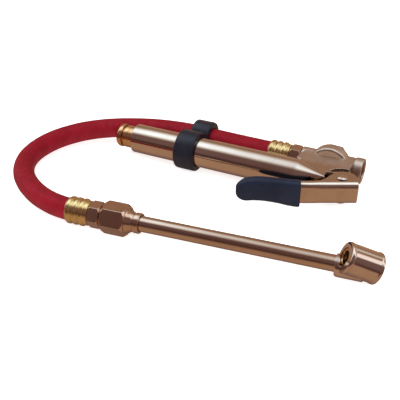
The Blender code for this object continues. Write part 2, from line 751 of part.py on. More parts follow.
GUIDE_BACK = GUIDE_FRONT + GUIDE_HEAD
STEM_SEAL_END = GUIDE_BACK + GUIDE_THREAD_LENGTH + GAP + STEM_SEAL_LENGTH
SEAL_START = SEAT_Y + GAP
POPPET_START = SEAL_START + SEAL_THICKNESS + GAP
POPPET_END = POPPET_START + POPPET_THICKNESS
POCKET_END = BOSS_BACK + 2 * GAP + PLUG_GASKET_THICKNESS + PLUG_HEAD - PLUG_CROWN


def stem_front():
    """How far the stem reaches towards the lever: up to the inner face of its web, less the free play."""
    web = LEVER_WEB_OFFSET - LEVER_SHEET
    from_pivot = PIVOT_X - VALVE_X
    return PIVOT_Y - web / math.cos(LEVER_ANGLE) - from_pivot * math.tan(LEVER_ANGLE) + LEVER_TO_STEM


def valve_stem():
    front = stem_front()
    outer = [
        (front, STEM_RADIUS * 0.15),
        (front + STEM_RADIUS * 0.10, STEM_RADIUS * 0.45),
        (front + STEM_RADIUS * 0.30, STEM_RADIUS * 0.75),
        (front + STEM_RADIUS * 0.65, STEM_RADIUS * 0.95),
        (front + STEM_RADIUS, STEM_RADIUS),
        (POPPET_START, STEM_RADIUS),
        (POPPET_START, POPPET_RADIUS),
        (POPPET_END, POPPET_RADIUS),
        (POPPET_END, STEM_TAIL_RADIUS),
        (POPPET_END + STEM_TAIL_LENGTH, STEM_TAIL_RADIUS),
    ]
    turned("valve_stem", VALVE, "brass", outer)
    hole = STEM_RADIUS + GAP
    turned("valve_seal", VALVE, "black_rubber",
           [(SEAL_START, POPPET_RADIUS - GAP), (SEAL_START + SEAL_THICKNESS, POPPET_RADIUS)],
           [(SEAL_START, hole), (SEAL_START + SEAL_THICKNESS, hole)])


def valve_spring():
    curve = coil_curve("valve_spring", VALVE_SPRING_RADIUS, VALVE_SPRING_WIRE, POPPET_END + GAP, POCKET_END - GAP,
                       VALVE_SPRING_TURNS)
    piece("valve_spring", curve, VALVE, "steel")


def valve_plug():
    """Hexagon plug with a pocket for the spring, and the fibre washer under its head."""
    head_start = BOSS_BACK + 2 * GAP + PLUG_GASKET_THICKNESS
    head_end = head_start + PLUG_HEAD
    thread_start = BOSS_BACK - PLUG_THREAD_DEPTH + GAP
    plug = piece("valve_plug", hexagon_mesh("valve_plug", PLUG_FLATS, head_start, head_end, turn=30), VALVE,
                 "chrome")
    combine(plug, chamfer_ring("plug_chamfer", VALVE, PLUG_FLATS, head_start - PLUG_HEAD, head_end, 0.0010),
            "INTERSECT")
    join(plug, turned_tool("plug_stud", VALVE, [(thread_start, PLUG_THREAD_RADIUS - 0.0004),
                                                (thread_start + 0.0004, PLUG_THREAD_RADIUS),
                                                (head_start + 0.001, PLUG_THREAD_RADIUS)]))
    cut(plug, drill("spring_pocket", VALVE, thread_start - 0.001, POCKET_END, POPPET_RADIUS + POPPET_PLAY))
    start = BOSS_BACK + GAP
    end = start + PLUG_GASKET_THICKNESS
    inside = PLUG_THREAD_RADIUS + GAP
    outside = PLUG_FLATS / 2
    turned("plug_gasket", VALVE, "fibre", [(start, outside), (end, outside)], [(start, inside), (end, inside)])


def stem_guide():
    """Brass gland in the front of the head, and the O-ring behind it."""
    guide = piece("stem_guide", hexagon_mesh("stem_guide", GUIDE_FLATS, GUIDE_FRONT, GUIDE_BACK), VALVE, "brass")
    combine(guide, chamfer_ring("guide_chamfer", VALVE, GUIDE_FLATS, GUIDE_FRONT, GUIDE_BACK + GUIDE_HEAD, 0.0005),
            "INTERSECT")
    thread_end = GUIDE_BACK + GUIDE_THREAD_LENGTH
    join(guide, turned_tool("guide_stud", VALVE, [(GUIDE_BACK - 0.001, GUIDE_THREAD_RADIUS),
                                                  (thread_end, GUIDE_THREAD_RADIUS)]))
    cut(guide, drill("guide_bore", VALVE, GUIDE_FRONT - 0.001, thread_end + 0.001, STEM_RADIUS + GAP))
    start = thread_end + GAP
    end = start + STEM_SEAL_LENGTH
    inside = STEM_RADIUS + GAP
    turned("stem_seal", VALVE, "black_rubber", [(start, GUIDE_THREAD_RADIUS), (end, GUIDE_THREAD_RADIUS)],
           [(start, inside), (end, inside)])


# ---------------------------------------------------------------- lever

LEVER_WEB_OFFSET = 0.0074       # outer face of the web, from the pivot

# plan of the lever in its own frame: outer face of the web, and the free edge of the two flanges beside it
LEVER_WEB = [
    (-0.0090, LEVER_WEB_OFFSET), (-0.0084, LEVER_WEB_OFFSET), (-0.0072, LEVER_WEB_OFFSET),
    (-0.0058, LEVER_WEB_OFFSET), (-0.0044, LEVER_WEB_OFFSET), (-0.0030, LEVER_WEB_OFFSET),
    (-0.0015, LEVER_WEB_OFFSET), (0.0000, LEVER_WEB_OFFSET), (0.0030, LEVER_WEB_OFFSET),
    (0.0060, LEVER_WEB_OFFSET), (0.0090, LEVER_WEB_OFFSET), (0.0120, LEVER_WEB_OFFSET),
    (0.0150, LEVER_WEB_OFFSET), (0.0200, LEVER_WEB_OFFSET), (0.0262, LEVER_WEB_OFFSET - 0.0002),
    (0.0310, LEVER_WEB_OFFSET - 0.0007), (0.0360, LEVER_WEB_OFFSET - 0.0014), (0.0460, LEVER_WEB_OFFSET - 0.0031),
    (0.0550, LEVER_WEB_OFFSET - 0.0046), (0.0600, LEVER_WEB_OFFSET - 0.0051),
]
LEVER_FREE_EDGE = [
    (-0.0090, 0.0010), (-0.0087, -0.0030), (-0.0078, -0.0050),
    (-0.0062, -0.0066), (-0.0050, -0.0073), (-0.0035, -0.0078),
    (-0.0015, -0.0081), (0.0012, -0.0078), (0.0040, -0.0060),
    (0.0066, -0.0036), (0.0092, -0.0010), (0.0120, 0.0014),
    (0.0142, 0.0026), (0.0200, 0.0033), (0.0262, 0.0031),
    (0.0310, 0.0026), (0.0360, 0.0019), (0.0460, 0.0002),
    (0.0550, -0.0013), (0.0600, -0.0013),
]


def lever_half_height(x):
    """Half the channel's height: full at the ears, narrower inside the grip."""
    full = LEVER_HEIGHT / 2
    tip = LEVER_TIP_HEIGHT / 2
    share = min(max((x - 0.0262) / 0.0098, 0.0), 1.0)
    return full + (tip - full) * share


def inwards(line):
    """At each point of a line in plan, the direction square to it, on its right-hand side."""
    ways = []
    for before, after in zip([line[0]] + line[:-1], line[1:] + [line[-1]]):
        along = (Vector(after) - Vector(before)).normalized()
        ways.append(Vector((along.y, -along.x)))
    return ways


def lever_section(web, free, inward):
    """Points across the channel's outer surface, from the upper free edge round the web to the lower one."""
    half = lever_half_height(web[0])
    bend = LEVER_BEND
    upper = [(free[0], free[1], half)]
    for angle in (0, 30, 60, 90):
        turn = math.radians(angle)
        back = bend * (1 - math.sin(turn))
        z = half - bend * (1 - math.cos(turn))
        upper.append((web[0] + inward.x * back, web[1] + inward.y * back, z))
    lower = [(x, y, -z) for x, y, z in reversed(upper)]
    return upper + lower


def lever():
    """Stamped channel: one bent sheet with two ears at the pivot."""
    sections = [lever_section(*plan) for plan in zip(LEVER_WEB, LEVER_FREE_EDGE, inwards(LEVER_WEB))]
    sections.reverse()      # so that the skin's outer side is its front
    mesh = loft_mesh("lever", sections, closed=False)
    made = piece("lever", mesh, LEVER, "chrome")
    sheet = made.modifiers.new("sheet", "SOLIDIFY")
    sheet.thickness = LEVER_SHEET
    sheet.offset = -1
    sheet.use_even_offset = True
    cut(made, drill("ear_hole", LEVER, -LEVER_HEIGHT, LEVER_HEIGHT, PIN_RADIUS + GAP))
    smooth(mesh)


# the grip: distance along the lever, middle of its section in plan, half width, lowest and highest point
GRIP_SECTIONS = [
    (0.0262, 0.0052, 0.0036, -0.0090, 0.0084),
    (0.0275, 0.0052, 0.0038, -0.0092, 0.0086),
    (0.0330, 0.0047, 0.0038, -0.0085, 0.0088),
    (0.0400, 0.0036, 0.0038, -0.0073, 0.0090),
    (0.0480, 0.0022, 0.0038, -0.0067, 0.0091),
    (0.0540, 0.0011, 0.0038, -0.0070, 0.0086),
    (0.0590, 0.0004, 0.0037, -0.0077, 0.0074),
    (0.0620, 0.0001, 0.0034, -0.0072, 0.0056),
    (0.0640, 0.0000, 0.0028, -0.0058, 0.0038),
    (0.0652, 0.0000, 0.0016, -0.0036, 0.0018),
]


def rounded_ring(x, middle, half_width, low, high, corner, per_corner=5):
    """A rounded rectangle in a plane across the lever."""
    half_height = (high - low) / 2
    centre = (high + low) / 2
    corner = min(corner, half_width * 0.95, half_height * 0.95)
    ring = []
    for side_y, side_z, start in ((1, 1, 0), (-1, 1, 90), (-1, -1, 180), (1, -1, 270)):
        for i in range(per_corner):
            angle = math.radians(start + 90 * i / (per_corner - 1))
            ring.append((
                x,
                middle + side_y * (half_width - corner) + corner * math.cos(angle),
                centre + side_z * (half_height - corner) + corner * math.sin(angle),
            ))
    return ring


def lever_grip():
    """Dipped vinyl sleeve, with a pocket that fits the lever's tail."""
    rings = [rounded_ring(x, middle, half, low, high, 0.0030) for x, middle, half, low, high in GRIP_SECTIONS]
    grip = piece("lever_grip", loft_mesh("lever_grip", rings), LEVER, "vinyl", at=(0, 0, 0))
    pocket = []
    tail = [(web, free) for web, free in zip(LEVER_WEB, LEVER_FREE_EDGE) if web[0] >= GRIP_START - GAP]
    for (x, outside), (_, inside) in tail:
        half = lever_half_height(x) + GAP
        pocket.append(rounded_ring(x, (outside + inside) / 2, (outside - inside) / 2 + GAP, -half, half, 0.0005))
    mouth = [(x - 0.002, y, z) for x, y, z in pocket[0]]
    end = [(x + GAP, y, z) for x, y, z in pocket[-1]]
    cut(grip, tool("grip_pocket", loft_mesh("grip_pocket", [mouth] + pocket + [end]), LEVER))
    smooth(grip.data)


def lever_pin():
    """Rivet through the ears and the lug, with a push-on ring under the lower ear."""
    top = LEVER_HEIGHT / 2 + GAP
    ring_top = -LEVER_HEIGHT / 2 - GAP
    ring_low = ring_top - PIN_CLIP_THICKNESS
    outer = [
        (ring_low - PIN_TAIL / 2, PIN_RADIUS - 0.0004),
        (ring_low - PIN_TAIL / 2 + 0.0004, PIN_RADIUS),
        (top, PIN_RADIUS),
        (top, PIN_HEAD_RADIUS),
        (top + PIN_HEAD_HEIGHT * 0.5, PIN_HEAD_RADIUS * 0.88),
        (top + PIN_HEAD_HEIGHT * 0.85, PIN_HEAD_RADIUS * 0.60),
        (top + PIN_HEAD_HEIGHT, PIN_HEAD_RADIUS * 0.25),
    ]
    turned("lever_pin", PIVOT, "steel", outer)
    hole = PIN_RADIUS + GAP
    turned("pin_clip", PIVOT, "steel",
           [(ring_low, PIN_CLIP_RADIUS), (ring_top - 0.0002, PIN_CLIP_RADIUS), (ring_top, PIN_CLIP_RADIUS - 0.0002)],
           [(ring_low, hole), (ring_top, hole)])


# ---------------------------------------------------------------- clip

def clip_ring(radius, inset):
    """Outer surface of one ring of the clip, with its edges chamfered."""
    start = CLIP_START + inset
    end = CLIP_START + CLIP_WIDTH - inset
    return [
        (start, radius - CLIP_EDGE),
        (start + CLIP_EDGE * 0.3, radius - CLIP_EDGE * 0.3),
        (start + CLIP_EDGE, radius),
        (end - CLIP_EDGE, radius),
        (end - CLIP_EDGE * 0.3, radius - CLIP_EDGE * 0.3),
        (end, radius - CLIP_EDGE),
    ]


def hose_clip():
    """Two rings side by side, moulded in one: the barrel's and the hose's."""
    past = 0.001
    end = CLIP_START + CLIP_WIDTH
    clip = turned("hose_clip", BARREL, "black_plastic", clip_ring(BARREL_RADIUS + GAP + CLIP_WALL, 0.0),
                  steps=ROUND_STEPS)
    around_hose = clip_ring(HOSE_RADIUS + GAP + CLIP_HOSE_WALL, CLIP_STEP)
    join(clip, turned_tool("hose_ring", CLIP, around_hose, steps=ROUND_STEPS))
    cut(
        clip,
        drill("clip_barrel_hole", BARREL, CLIP_START - past, end + past, BARREL_RADIUS + GAP, steps=ROUND_STEPS),
        drill("clip_hose_hole", CLIP, CLIP_START - past, end + past, HOSE_RADIUS + GAP, steps=ROUND_STEPS),
    )


# ---------------------------------------------------------------- hose and fittings

def ferrule_outline(start, end):
    """Outside of a crimped sleeve: ribs between grooves, from the hose to the fitting."""
    groove = HOSE_RADIUS + GAP + FERRULE_WALL
    rib = groove + FERRULE_RIB
    pitch = (end - start) / (FERRULE_RIBS + 0.5)
    way = 1 if end > start else -1
    points = [(start, groove - 0.0002)]
    for i in range(FERRULE_RIBS):
        base = start + pitch * i
        points += [
            (base + pitch * 0.10, groove),
            (base + pitch * 0.28, rib),
            (base + pitch * 0.72, rib),
            (base + pitch * 0.92, groove),
        ]
    points.append((end - way * 0.0006, groove))
    points.append((end, groove - 0.0004))
    return points


def ferrule(name, parent, start, end):
    """Sleeve from its open end on the hose, at start, to the fitting, at end, where it closes round the barb."""
    outside = ferrule_outline(start, end)
    way = 1 if end > start else -1
    throat = BARB_RADIUS + GAP
    floor = end - way * 0.0012
    inside = [(start, HOSE_RADIUS + GAP), (floor, HOSE_RADIUS + GAP), (floor, throat), (end, throat)]
    if way < 0:
        outside.reverse()
        inside.reverse()
    turned(name, parent, "brass", outside, inside, steps=ROUND_STEPS)


def fitting(name, parent, start, end, way):
    """Hose fitting: barb inside the hose, hexagon, and a threaded end. start is the ferrule's open end."""
    hexagon_start = start + way * (FERRULE_LENGTH + GAP)
    hexagon_end = hexagon_start + way * FITTING_HEX_LENGTH
    low, high = sorted((hexagon_start, hexagon_end))
    body = piece(name, hexagon_mesh(name, FITTING_FLATS, low, high), parent, "bronzed")
    combine(body, chamfer_ring(name + "_chamfer", parent, FITTING_FLATS, low, high, 0.0008), "INTERSECT")
    core = [
        (start + way * 0.0010, BARB_RADIUS),
        (hexagon_start + way * 0.0015, BARB_RADIUS),
        (hexagon_start + way * 0.0015, FITTING_THREAD_RADIUS),
        (end - way * 0.0004, FITTING_THREAD_RADIUS),
        (end, FITTING_THREAD_RADIUS - 0.0004),
    ]
    if way < 0:
        core.reverse()
    join(body, turned_tool(name + "_core", parent, core))
    past = 0.001
    bore_low, bore_high = sorted((start - way * past, end + way * past))
    cut(body, drill(name + "_bore", parent, bore_low, bore_high, FITTING_BORE_RADIUS))


REAR_HEX_END = PORT_BOSS_START - GAP
REAR_START = REAR_HEX_END - FITTING_HEX_LENGTH - GAP - FERRULE_LENGTH   # the rear ferrule's open end


def hose_points():
    """The hose's centre line: out of the rear ferrule, through the clip, round the loop into the front ferrule."""
    inside = FERRULE_LENGTH - 0.0012 - GAP
    rear = [(REAR_START + inside, PORT_Y, AXIS_HEIGHT), (REAR_START, PORT_Y, AXIS_HEIGHT)]
    route = [(x, y, AXIS_HEIGHT * share) for (x, y), share in zip(HOSE_ROUTE, HOSE_HEIGHTS)]
    along = Vector((math.cos(CHUCK_YAW), math.sin(CHUCK_YAW), 0.0))
    mouth = Vector((CHUCK_X, CHUCK_Y, CHUCK_HEIGHT))
    front = [tuple(mouth), tuple(mouth + along * inside)]
    return smooth_route(rear + route + front, HOSE_SAMPLES), along


def hose():
    """Rubber hose with a bore at each end for the barb."""
    points, along = hose_points()
    curve = bpy.data.curves.new("hose", "CURVE")
    curve.dimensions = "3D"
    curve.bevel_depth = HOSE_RADIUS
    curve.bevel_resolution = HOSE_BEVEL_RESOLUTION
    curve.use_fill_caps = True
    curve.render_resolution_u = 0
    line = curve.splines.new("POLY")
    line.points.add(len(points) - 1)
    for point, place in zip(line.points, points):
        point.co = (*place, 1.0)
    guide = bpy.data.objects.new("hose_line", curve)
    bpy.context.scene.collection.objects.link(guide)
    depsgraph = bpy.context.evaluated_depsgraph_get()
    mesh = bpy.data.meshes.new_from_object(guide.evaluated_get(depsgraph))
    bpy.data.objects.remove(guide)
    edit = bmesh.new()
    edit.from_mesh(mesh)
    bmesh.ops.remove_doubles(edit, verts=edit.verts, dist=MERGE)
    bmesh.ops.recalc_face_normals(edit, faces=edit.faces)
    edit.to_mesh(mesh)
    edit.free()
    made = piece("hose", mesh, ASSEMBLY, "red_rubber")
    depth = FERRULE_LENGTH - 0.0005
    cut(
        made,
        drill("rear_barb_bore", PORT, REAR_START + 0.0005, REAR_START + depth, HOSE_BORE_RADIUS),
        drill("front_barb_bore", CHUCK, 0.0005, depth, HOSE_BORE_RADIUS),
    )
    smooth(mesh)


# ---------------------------------------------------------------- chuck

COUPLING_START = FERRULE_LENGTH + GAP + FITTING_HEX_LENGTH + GAP
COUPLING_HEX_END = COUPLING_START + COUPLING_HEX_LENGTH
COUPLING_END = COUPLING_HEX_END + COUPLING_CONE_LENGTH + COUPLING_COLLAR_LENGTH
TUBE_START = COUPLING_END - COUPLING_SOCKET_DEPTH + GAP
NECK_START = COUPLING_END + TUBE_FREE_LENGTH
TUBE_END = NECK_START + TUBE_SOCKET_DEPTH - GAP


def chuck_coupling():
    """Large hexagon that screws on the hose fitting, with a cone and a collar that takes the tube."""
    made = piece("chuck_coupling", hexagon_mesh("chuck_coupling", COUPLING_FLATS, COUPLING_START, COUPLING_HEX_END),
                 CHUCK, "bronzed")
    combine(made, chamfer_ring("coupling_chamfer", CHUCK, COUPLING_FLATS, COUPLING_START, COUPLING_HEX_END, 0.0014),
            "INTERSECT")
    cone_end = COUPLING_HEX_END + COUPLING_CONE_LENGTH
    neck = COUPLING_COLLAR_RADIUS - 0.0005
    outer = [
        (COUPLING_HEX_END - 0.001, COUPLING_FLATS / 2 - 0.0006),
        (COUPLING_HEX_END + 0.0006, COUPLING_FLATS / 2 - 0.0010),
        (COUPLING_HEX_END + 0.0022, neck + 0.0010),
        (cone_end - 0.0008, neck),
        (cone_end, COUPLING_COLLAR_RADIUS),
        (COUPLING_END - 0.0006, COUPLING_COLLAR_RADIUS),
        (COUPLING_END, COUPLING_COLLAR_RADIUS - 0.0005),
    ]
    join(made, turned_tool("coupling_cone", CHUCK, outer, steps=ROUND_STEPS))
    thread_end = COUPLING_START + FITTING_THREAD_LENGTH + 0.002
    past = 0.001
    cut(made, stepped_drill("coupling_bore", CHUCK, [
        (COUPLING_START - past, thread_end, FITTING_THREAD_RADIUS + GAP),
        (thread_end, TUBE_START - GAP, TUBE_BORE_RADIUS),
        (TUBE_START - GAP, COUPLING_END + past, TUBE_RADIUS + GAP),
    ]))


def chuck_tube():
    turned("chuck_tube", CHUCK, "chrome", [(TUBE_START, TUBE_RADIUS), (TUBE_END, TUBE_RADIUS)],
           [(TUBE_START, TUBE_BORE_RADIUS), (TUBE_END, TUBE_BORE_RADIUS)])


def neck_rings():
    """Rings of the neck: round the tube at its start, then larger and lower."""
    mouth = TUBE_RADIUS + GAP + NECK_LIP
    end = NECK_START + NECK_LENGTH
    rings = []
    for along, radius, drop in (
        (NECK_START, mouth, NECK_DROP * 0.1),
        (NECK_START + NECK_EDGE * 0.3, mouth + (NECK_RADIUS - mouth) * 0.60, NECK_DROP * 0.6),
        (NECK_START + NECK_EDGE, NECK_RADIUS, NECK_DROP),
        (end - NECK_EDGE * 2, NECK_RADIUS, NECK_DROP),
        (end, NECK_RADIUS - NECK_EDGE * 2, NECK_DROP),
    ):
        ring = []
        for i in range(ROUND_STEPS):
            angle = 2 * math.pi * i / ROUND_STEPS
            ring.append((radius * math.cos(angle) + drop, radius * math.sin(angle), along))
        rings.append(ring)
    return rings


def chuck_head():
    """The cylinder with a mouth at each end, and the neck that the tube goes into."""
    half = FOOT_LENGTH / 2
    lip = FOOT_RADIUS + FOOT_LIP_HEIGHT
    outer = [
        (-half, FOOT_RADIUS - 0.0010),
        (-half + 0.0006, FOOT_RADIUS - 0.0002),
        (-half + 0.0016, FOOT_RADIUS),
        (half - FOOT_LIP, FOOT_RADIUS),
        (half - FOOT_LIP + 0.0003, lip),
        (half - 0.0004, lip),
        (half, lip - 0.0004),
    ]
    head = turned("chuck_head", FOOT, "chrome", outer, steps=ROUND_STEPS)
    join(head, tool("neck", loft_mesh("neck", neck_rings()), CHUCK))
    past = 0.001
    cut(
        head,
        stepped_drill("foot_bore", FOOT, [
            (-half - past, -CHAMBER_HALF, FOOT_BORE_RADIUS),
            (-CHAMBER_HALF, CHAMBER_HALF, FOOT_CHAMBER_RADIUS),
            (CHAMBER_HALF, half + past, FOOT_BORE_RADIUS),
        ], steps=ROUND_STEPS),
        drill("tube_socket", CHUCK, NECK_START - past, NECK_START + TUBE_SOCKET_DEPTH, TUBE_RADIUS + GAP),
        drill("foot_passage", CHUCK, NECK_START + TUBE_SOCKET_DEPTH - past, NECK_START + FOOT_AHEAD,
              PASSAGE_RADIUS, steps=16, at=(FOOT_PASSAGE_DROP, 0, 0)),
    )


def foot_parts():
    """In each mouth a grommet and the ring that holds it, and between them the shuttle."""
    half = FOOT_LENGTH / 2
    outside = FOOT_BORE_RADIUS - GAP
    for name, way in (("front", 1), ("rear", -1)):
        seat = way * (CHAMBER_HALF + GAP)
        back = seat + way * GROMMET_THICKNESS
        low, high = sorted((seat, back))
        turned(name + "_foot_seal", FOOT, "black_rubber", [(low, outside), (high, outside)],
               [(low, GROMMET_HOLE), (high, GROMMET_HOLE)])
        low, high = sorted((back + way * GAP, way * (half - RETAINER_RECESS)))
        turned(name + "_retainer", FOOT, "brass", [(low, outside), (high, outside)],
               [(low, RETAINER_HOLE), (high, RETAINER_HOLE)])
    reach = CHAMBER_HALF + GAP + GROMMET_THICKNESS + SHUTTLE_PIN
    pins = [
        (-reach, SHUTTLE_RADIUS * 0.5),
        (-reach + SHUTTLE_RADIUS * 0.5, SHUTTLE_RADIUS),
        (-SHUTTLE_FLANGE / 2, SHUTTLE_RADIUS),
        (-SHUTTLE_FLANGE / 2, SHUTTLE_FLANGE_RADIUS),
        (SHUTTLE_FLANGE / 2, SHUTTLE_FLANGE_RADIUS),
        (SHUTTLE_FLANGE / 2, SHUTTLE_RADIUS),
        (reach - SHUTTLE_RADIUS * 0.5, SHUTTLE_RADIUS),
        (reach, SHUTTLE_RADIUS * 0.5),
    ]
    turned("foot_shuttle", FOOT, "steel", pins)


# ---------------------------------------------------------------- assembly

def stand_on_origin(root, loose):
    """Moves the whole tool so that the middle of its footprint is the origin, with the loose pieces left out."""
    depsgraph = bpy.context.evaluated_depsgraph_get()
    corners = []
    for made in PARTS.objects:
        if made.type == "EMPTY" or made.name in loose:
            continue
        shown = made.evaluated_get(depsgraph)
        mesh = shown.to_mesh()
        corners += [shown.matrix_world @ vertex.co for vertex in mesh.vertices]
        shown.to_mesh_clear()
    low = Vector([min(corner[i] for corner in corners) for i in range(3)])
    high = Vector([max(corner[i] for corner in corners) for i in range(3)])
    root.location = (-(low.x + high.x) / 2, -(low.y + high.y) / 2, -low.z)


clear_scene()
PARTS = new_collection("tyre_inflator")
TOOLS = new_collection("shaping tools")

ASSEMBLY = empty("assembly")
PLAN = empty("plan", ASSEMBLY, at=(0, 0, AXIS_HEIGHT))
BARREL = empty("barrel_axis", PLAN, turn=TOWARDS_X)
PORT = empty("port_axis", PLAN, at=(0, PORT_Y, 0), turn=TOWARDS_X)
CLIP = empty("clip_hose_axis", PLAN, at=(0, CLIP_HOSE_Y, 0), turn=TOWARDS_X)
VALVE = empty("valve_axis", PLAN, at=(VALVE_X, 0, 0), turn=TOWARDS_Y)
PIVOT = empty("pivot", PLAN, at=(PIVOT_X, PIVOT_Y, 0))
LEVER = empty("lever_frame", PIVOT, turn=(0, 0, math.pi + LEVER_ANGLE))
CHUCK_BASE = empty("chuck_base", ASSEMBLY, at=(CHUCK_X, CHUCK_Y, CHUCK_HEIGHT), turn=(0, 0, CHUCK_YAW))
CHUCK = empty("chuck_axis", CHUCK_BASE, turn=TOWARDS_X)
FOOT_SWIVEL = empty("foot_swivel", CHUCK_BASE, at=(NECK_START + FOOT_AHEAD, FOOT_ASIDE, FOOT_ABOVE),
                    turn=(0, FOOT_DROP, FOOT_SWING))
FOOT = empty("foot_axis", FOOT_SWIVEL, turn=TOWARDS_X)

valve_body()
inlet_screen()
gauge_end_plug()
gauge_tube()
gauge_bar()
gauge_piston()
gauge_spring()
valve_stem()
valve_spring()
valve_plug()
stem_guide()
lever()
lever_grip()
lever_pin()
hose_clip()
ferrule("rear_ferrule", PORT, REAR_START, REAR_START + FERRULE_LENGTH)
fitting("rear_fitting", PORT, REAR_START, REAR_HEX_END + FITTING_THREAD_LENGTH, 1)
ferrule("front_ferrule", CHUCK, 0.0, FERRULE_LENGTH)
fitting("front_fitting", CHUCK, 0.0, COUPLING_START + FITTING_THREAD_LENGTH, 1)
hose()
chuck_coupling()
chuck_tube()
chuck_head()
foot_parts()
stand_on_origin(ASSEMBLY, ("hose",))
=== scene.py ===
import math

import bmesh
import bpy
from mathutils import Euler
from mathutils import Matrix
from mathutils import Vector


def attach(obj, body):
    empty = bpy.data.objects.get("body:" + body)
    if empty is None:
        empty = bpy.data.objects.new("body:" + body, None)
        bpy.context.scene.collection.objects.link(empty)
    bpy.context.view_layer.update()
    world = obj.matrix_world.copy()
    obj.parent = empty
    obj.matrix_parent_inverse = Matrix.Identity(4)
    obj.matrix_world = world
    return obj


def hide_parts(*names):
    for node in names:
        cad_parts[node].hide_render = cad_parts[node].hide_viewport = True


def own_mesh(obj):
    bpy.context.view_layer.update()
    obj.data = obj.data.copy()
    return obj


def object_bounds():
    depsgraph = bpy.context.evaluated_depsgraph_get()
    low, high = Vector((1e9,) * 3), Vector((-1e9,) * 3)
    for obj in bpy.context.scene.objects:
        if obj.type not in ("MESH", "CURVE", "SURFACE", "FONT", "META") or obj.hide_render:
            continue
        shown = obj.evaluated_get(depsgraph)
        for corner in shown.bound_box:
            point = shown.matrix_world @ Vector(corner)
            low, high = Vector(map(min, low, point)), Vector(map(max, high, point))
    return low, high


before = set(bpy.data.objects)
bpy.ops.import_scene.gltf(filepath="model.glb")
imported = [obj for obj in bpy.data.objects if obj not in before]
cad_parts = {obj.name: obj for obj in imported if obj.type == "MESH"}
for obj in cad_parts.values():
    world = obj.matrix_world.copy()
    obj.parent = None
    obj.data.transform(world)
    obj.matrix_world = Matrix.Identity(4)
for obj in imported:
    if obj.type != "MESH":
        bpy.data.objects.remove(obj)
CAD_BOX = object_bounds()

# Metres, in the CAD model's row frame. The numbers repeat those of the solids.

ROUND = 128             # faces round the large turned pieces
SMALL = 64              # faces round the small ones
GAP = 0.0003            # clearance between pieces that slip into each other
AXIS_HEIGHT = 0.0134    # of the barrel, the valve and the hose port
PORT_Y = 0.0216         # from the barrel's axis to the port's
CLIP_Y = 0.0226         # from the barrel's axis to the hose in its clip
HOSE_RADIUS = 0.0069
TUBE_RADIUS = 0.00475
CHUCK_AT = (0.0048, -0.0908, 0.00875)
CHUCK_TURN = math.radians(6)

# ---------------------------------------------------------------- frames of the groups

ASSEMBLY = Matrix.Translation((-0.089076, 0.032716, 0.0))
TO_X = Matrix.Rotation(math.radians(90), 4, "Y")
TO_Y = Matrix.Rotation(math.radians(-90), 4, "X")
PLAN = ASSEMBLY @ Matrix.Translation((0, 0, AXIS_HEIGHT))
BARREL = PLAN @ TO_X
PORT = PLAN @ Matrix.Translation((0, PORT_Y, 0)) @ TO_X
CLIP = PLAN @ Matrix.Translation((0, CLIP_Y, 0)) @ TO_X
VALVE_X = 0.133
VALVE = PLAN @ Matrix.Translation((VALVE_X, 0, 0)) @ TO_Y
PIVOT_AT = (0.148, -0.005)
PIVOT = PLAN @ Matrix.Translation((*PIVOT_AT, 0))
LEVER = PIVOT @ Matrix.Rotation(math.radians(180 + 25.3), 4, "Z")
CHUCK_BASE = ASSEMBLY @ Matrix.Translation(CHUCK_AT) @ Matrix.Rotation(CHUCK_TURN, 4, "Z")
CHUCK = CHUCK_BASE @ TO_X
NECK_START = 0.1601
FOOT_TURN = Euler((0, math.radians(22.9), math.radians(18.7))).to_matrix().to_4x4()
FOOT = CHUCK_BASE @ Matrix.Translation((NECK_START + 0.0140, 0.00055, 0.0033)) @ FOOT_TURN @ TO_X

# ---------------------------------------------------------------- camera

scene = bpy.context.scene
camera = bpy.data.objects.new("camera", bpy.data.cameras.new("camera"))
camera.data.lens = 63
camera.data.sensor_width = 36
camera.data.clip_start = 0.01
camera.location = (0.138720, -0.343743, 0.240080)
camera.rotation_euler = Vector((-0.3622, 0.7623, -0.5365)).to_track_quat("-Z", "Y").to_euler()
scene.collection.objects.link(camera)
scene.camera = camera
scene.view_settings.view_transform = "Standard"


# ---------------------------------------------------------------- shaping helpers

def fillet(points, around=False, steps=6):
    """A line whose corners (a, b, rounding) are rounded off."""
    reach = 0.49
    line = []
    count = len(points)
    for i, point in enumerate(points):
        size = point[2] if len(point) > 2 else 0.0
        here = Vector(point[:2])
        if size <= 0 or (not around and i in (0, count - 1)):
            line.append(tuple(here))
            continue
        before = Vector(points[i - 1][:2])
        after = Vector(points[(i + 1) % count][:2])
        start = here + (before - here).normalized() * min(size, (before - here).length * reach)
        end = here + (after - here).normalized() * min(size, (after - here).length * reach)
        for k in range(steps + 1):
            t = k / steps
            line.append(tuple(start.lerp(here, t).lerp(here.lerp(end, t), t)))
    return line


def linked(name, mesh):
    made = bpy.data.objects.new(name, mesh)
    scene.collection.objects.link(made)
    return made


def from_bmesh(name, edit, place=None):
    bmesh.ops.remove_doubles(edit, verts=edit.verts, dist=1e-7)
    bmesh.ops.recalc_face_normals(edit, faces=edit.faces)
    if place is not None:
        edit.transform(place)
    mesh = bpy.data.meshes.new(name)
    edit.to_mesh(mesh)
    edit.free()
    return linked(name, mesh)


def skin(name, rings, place=None, closed=True, caps=True):
    """A skin over rows of points."""
    edit = bmesh.new()
    rows = [[edit.verts.new(point) for point in ring] for ring in rings]
    count = len(rows[0])
    for low, high in zip(rows, rows[1:]):
        for i in range(count if closed else count - 1):
            j = (i + 1) % count
            edit.faces.new((low[i], low[j], high[j], high[i]))
    if caps:
        edit.faces.new(list(reversed(rows[0])))
        edit.faces.new(rows[-1])
    return from_bmesh(name, edit, place)


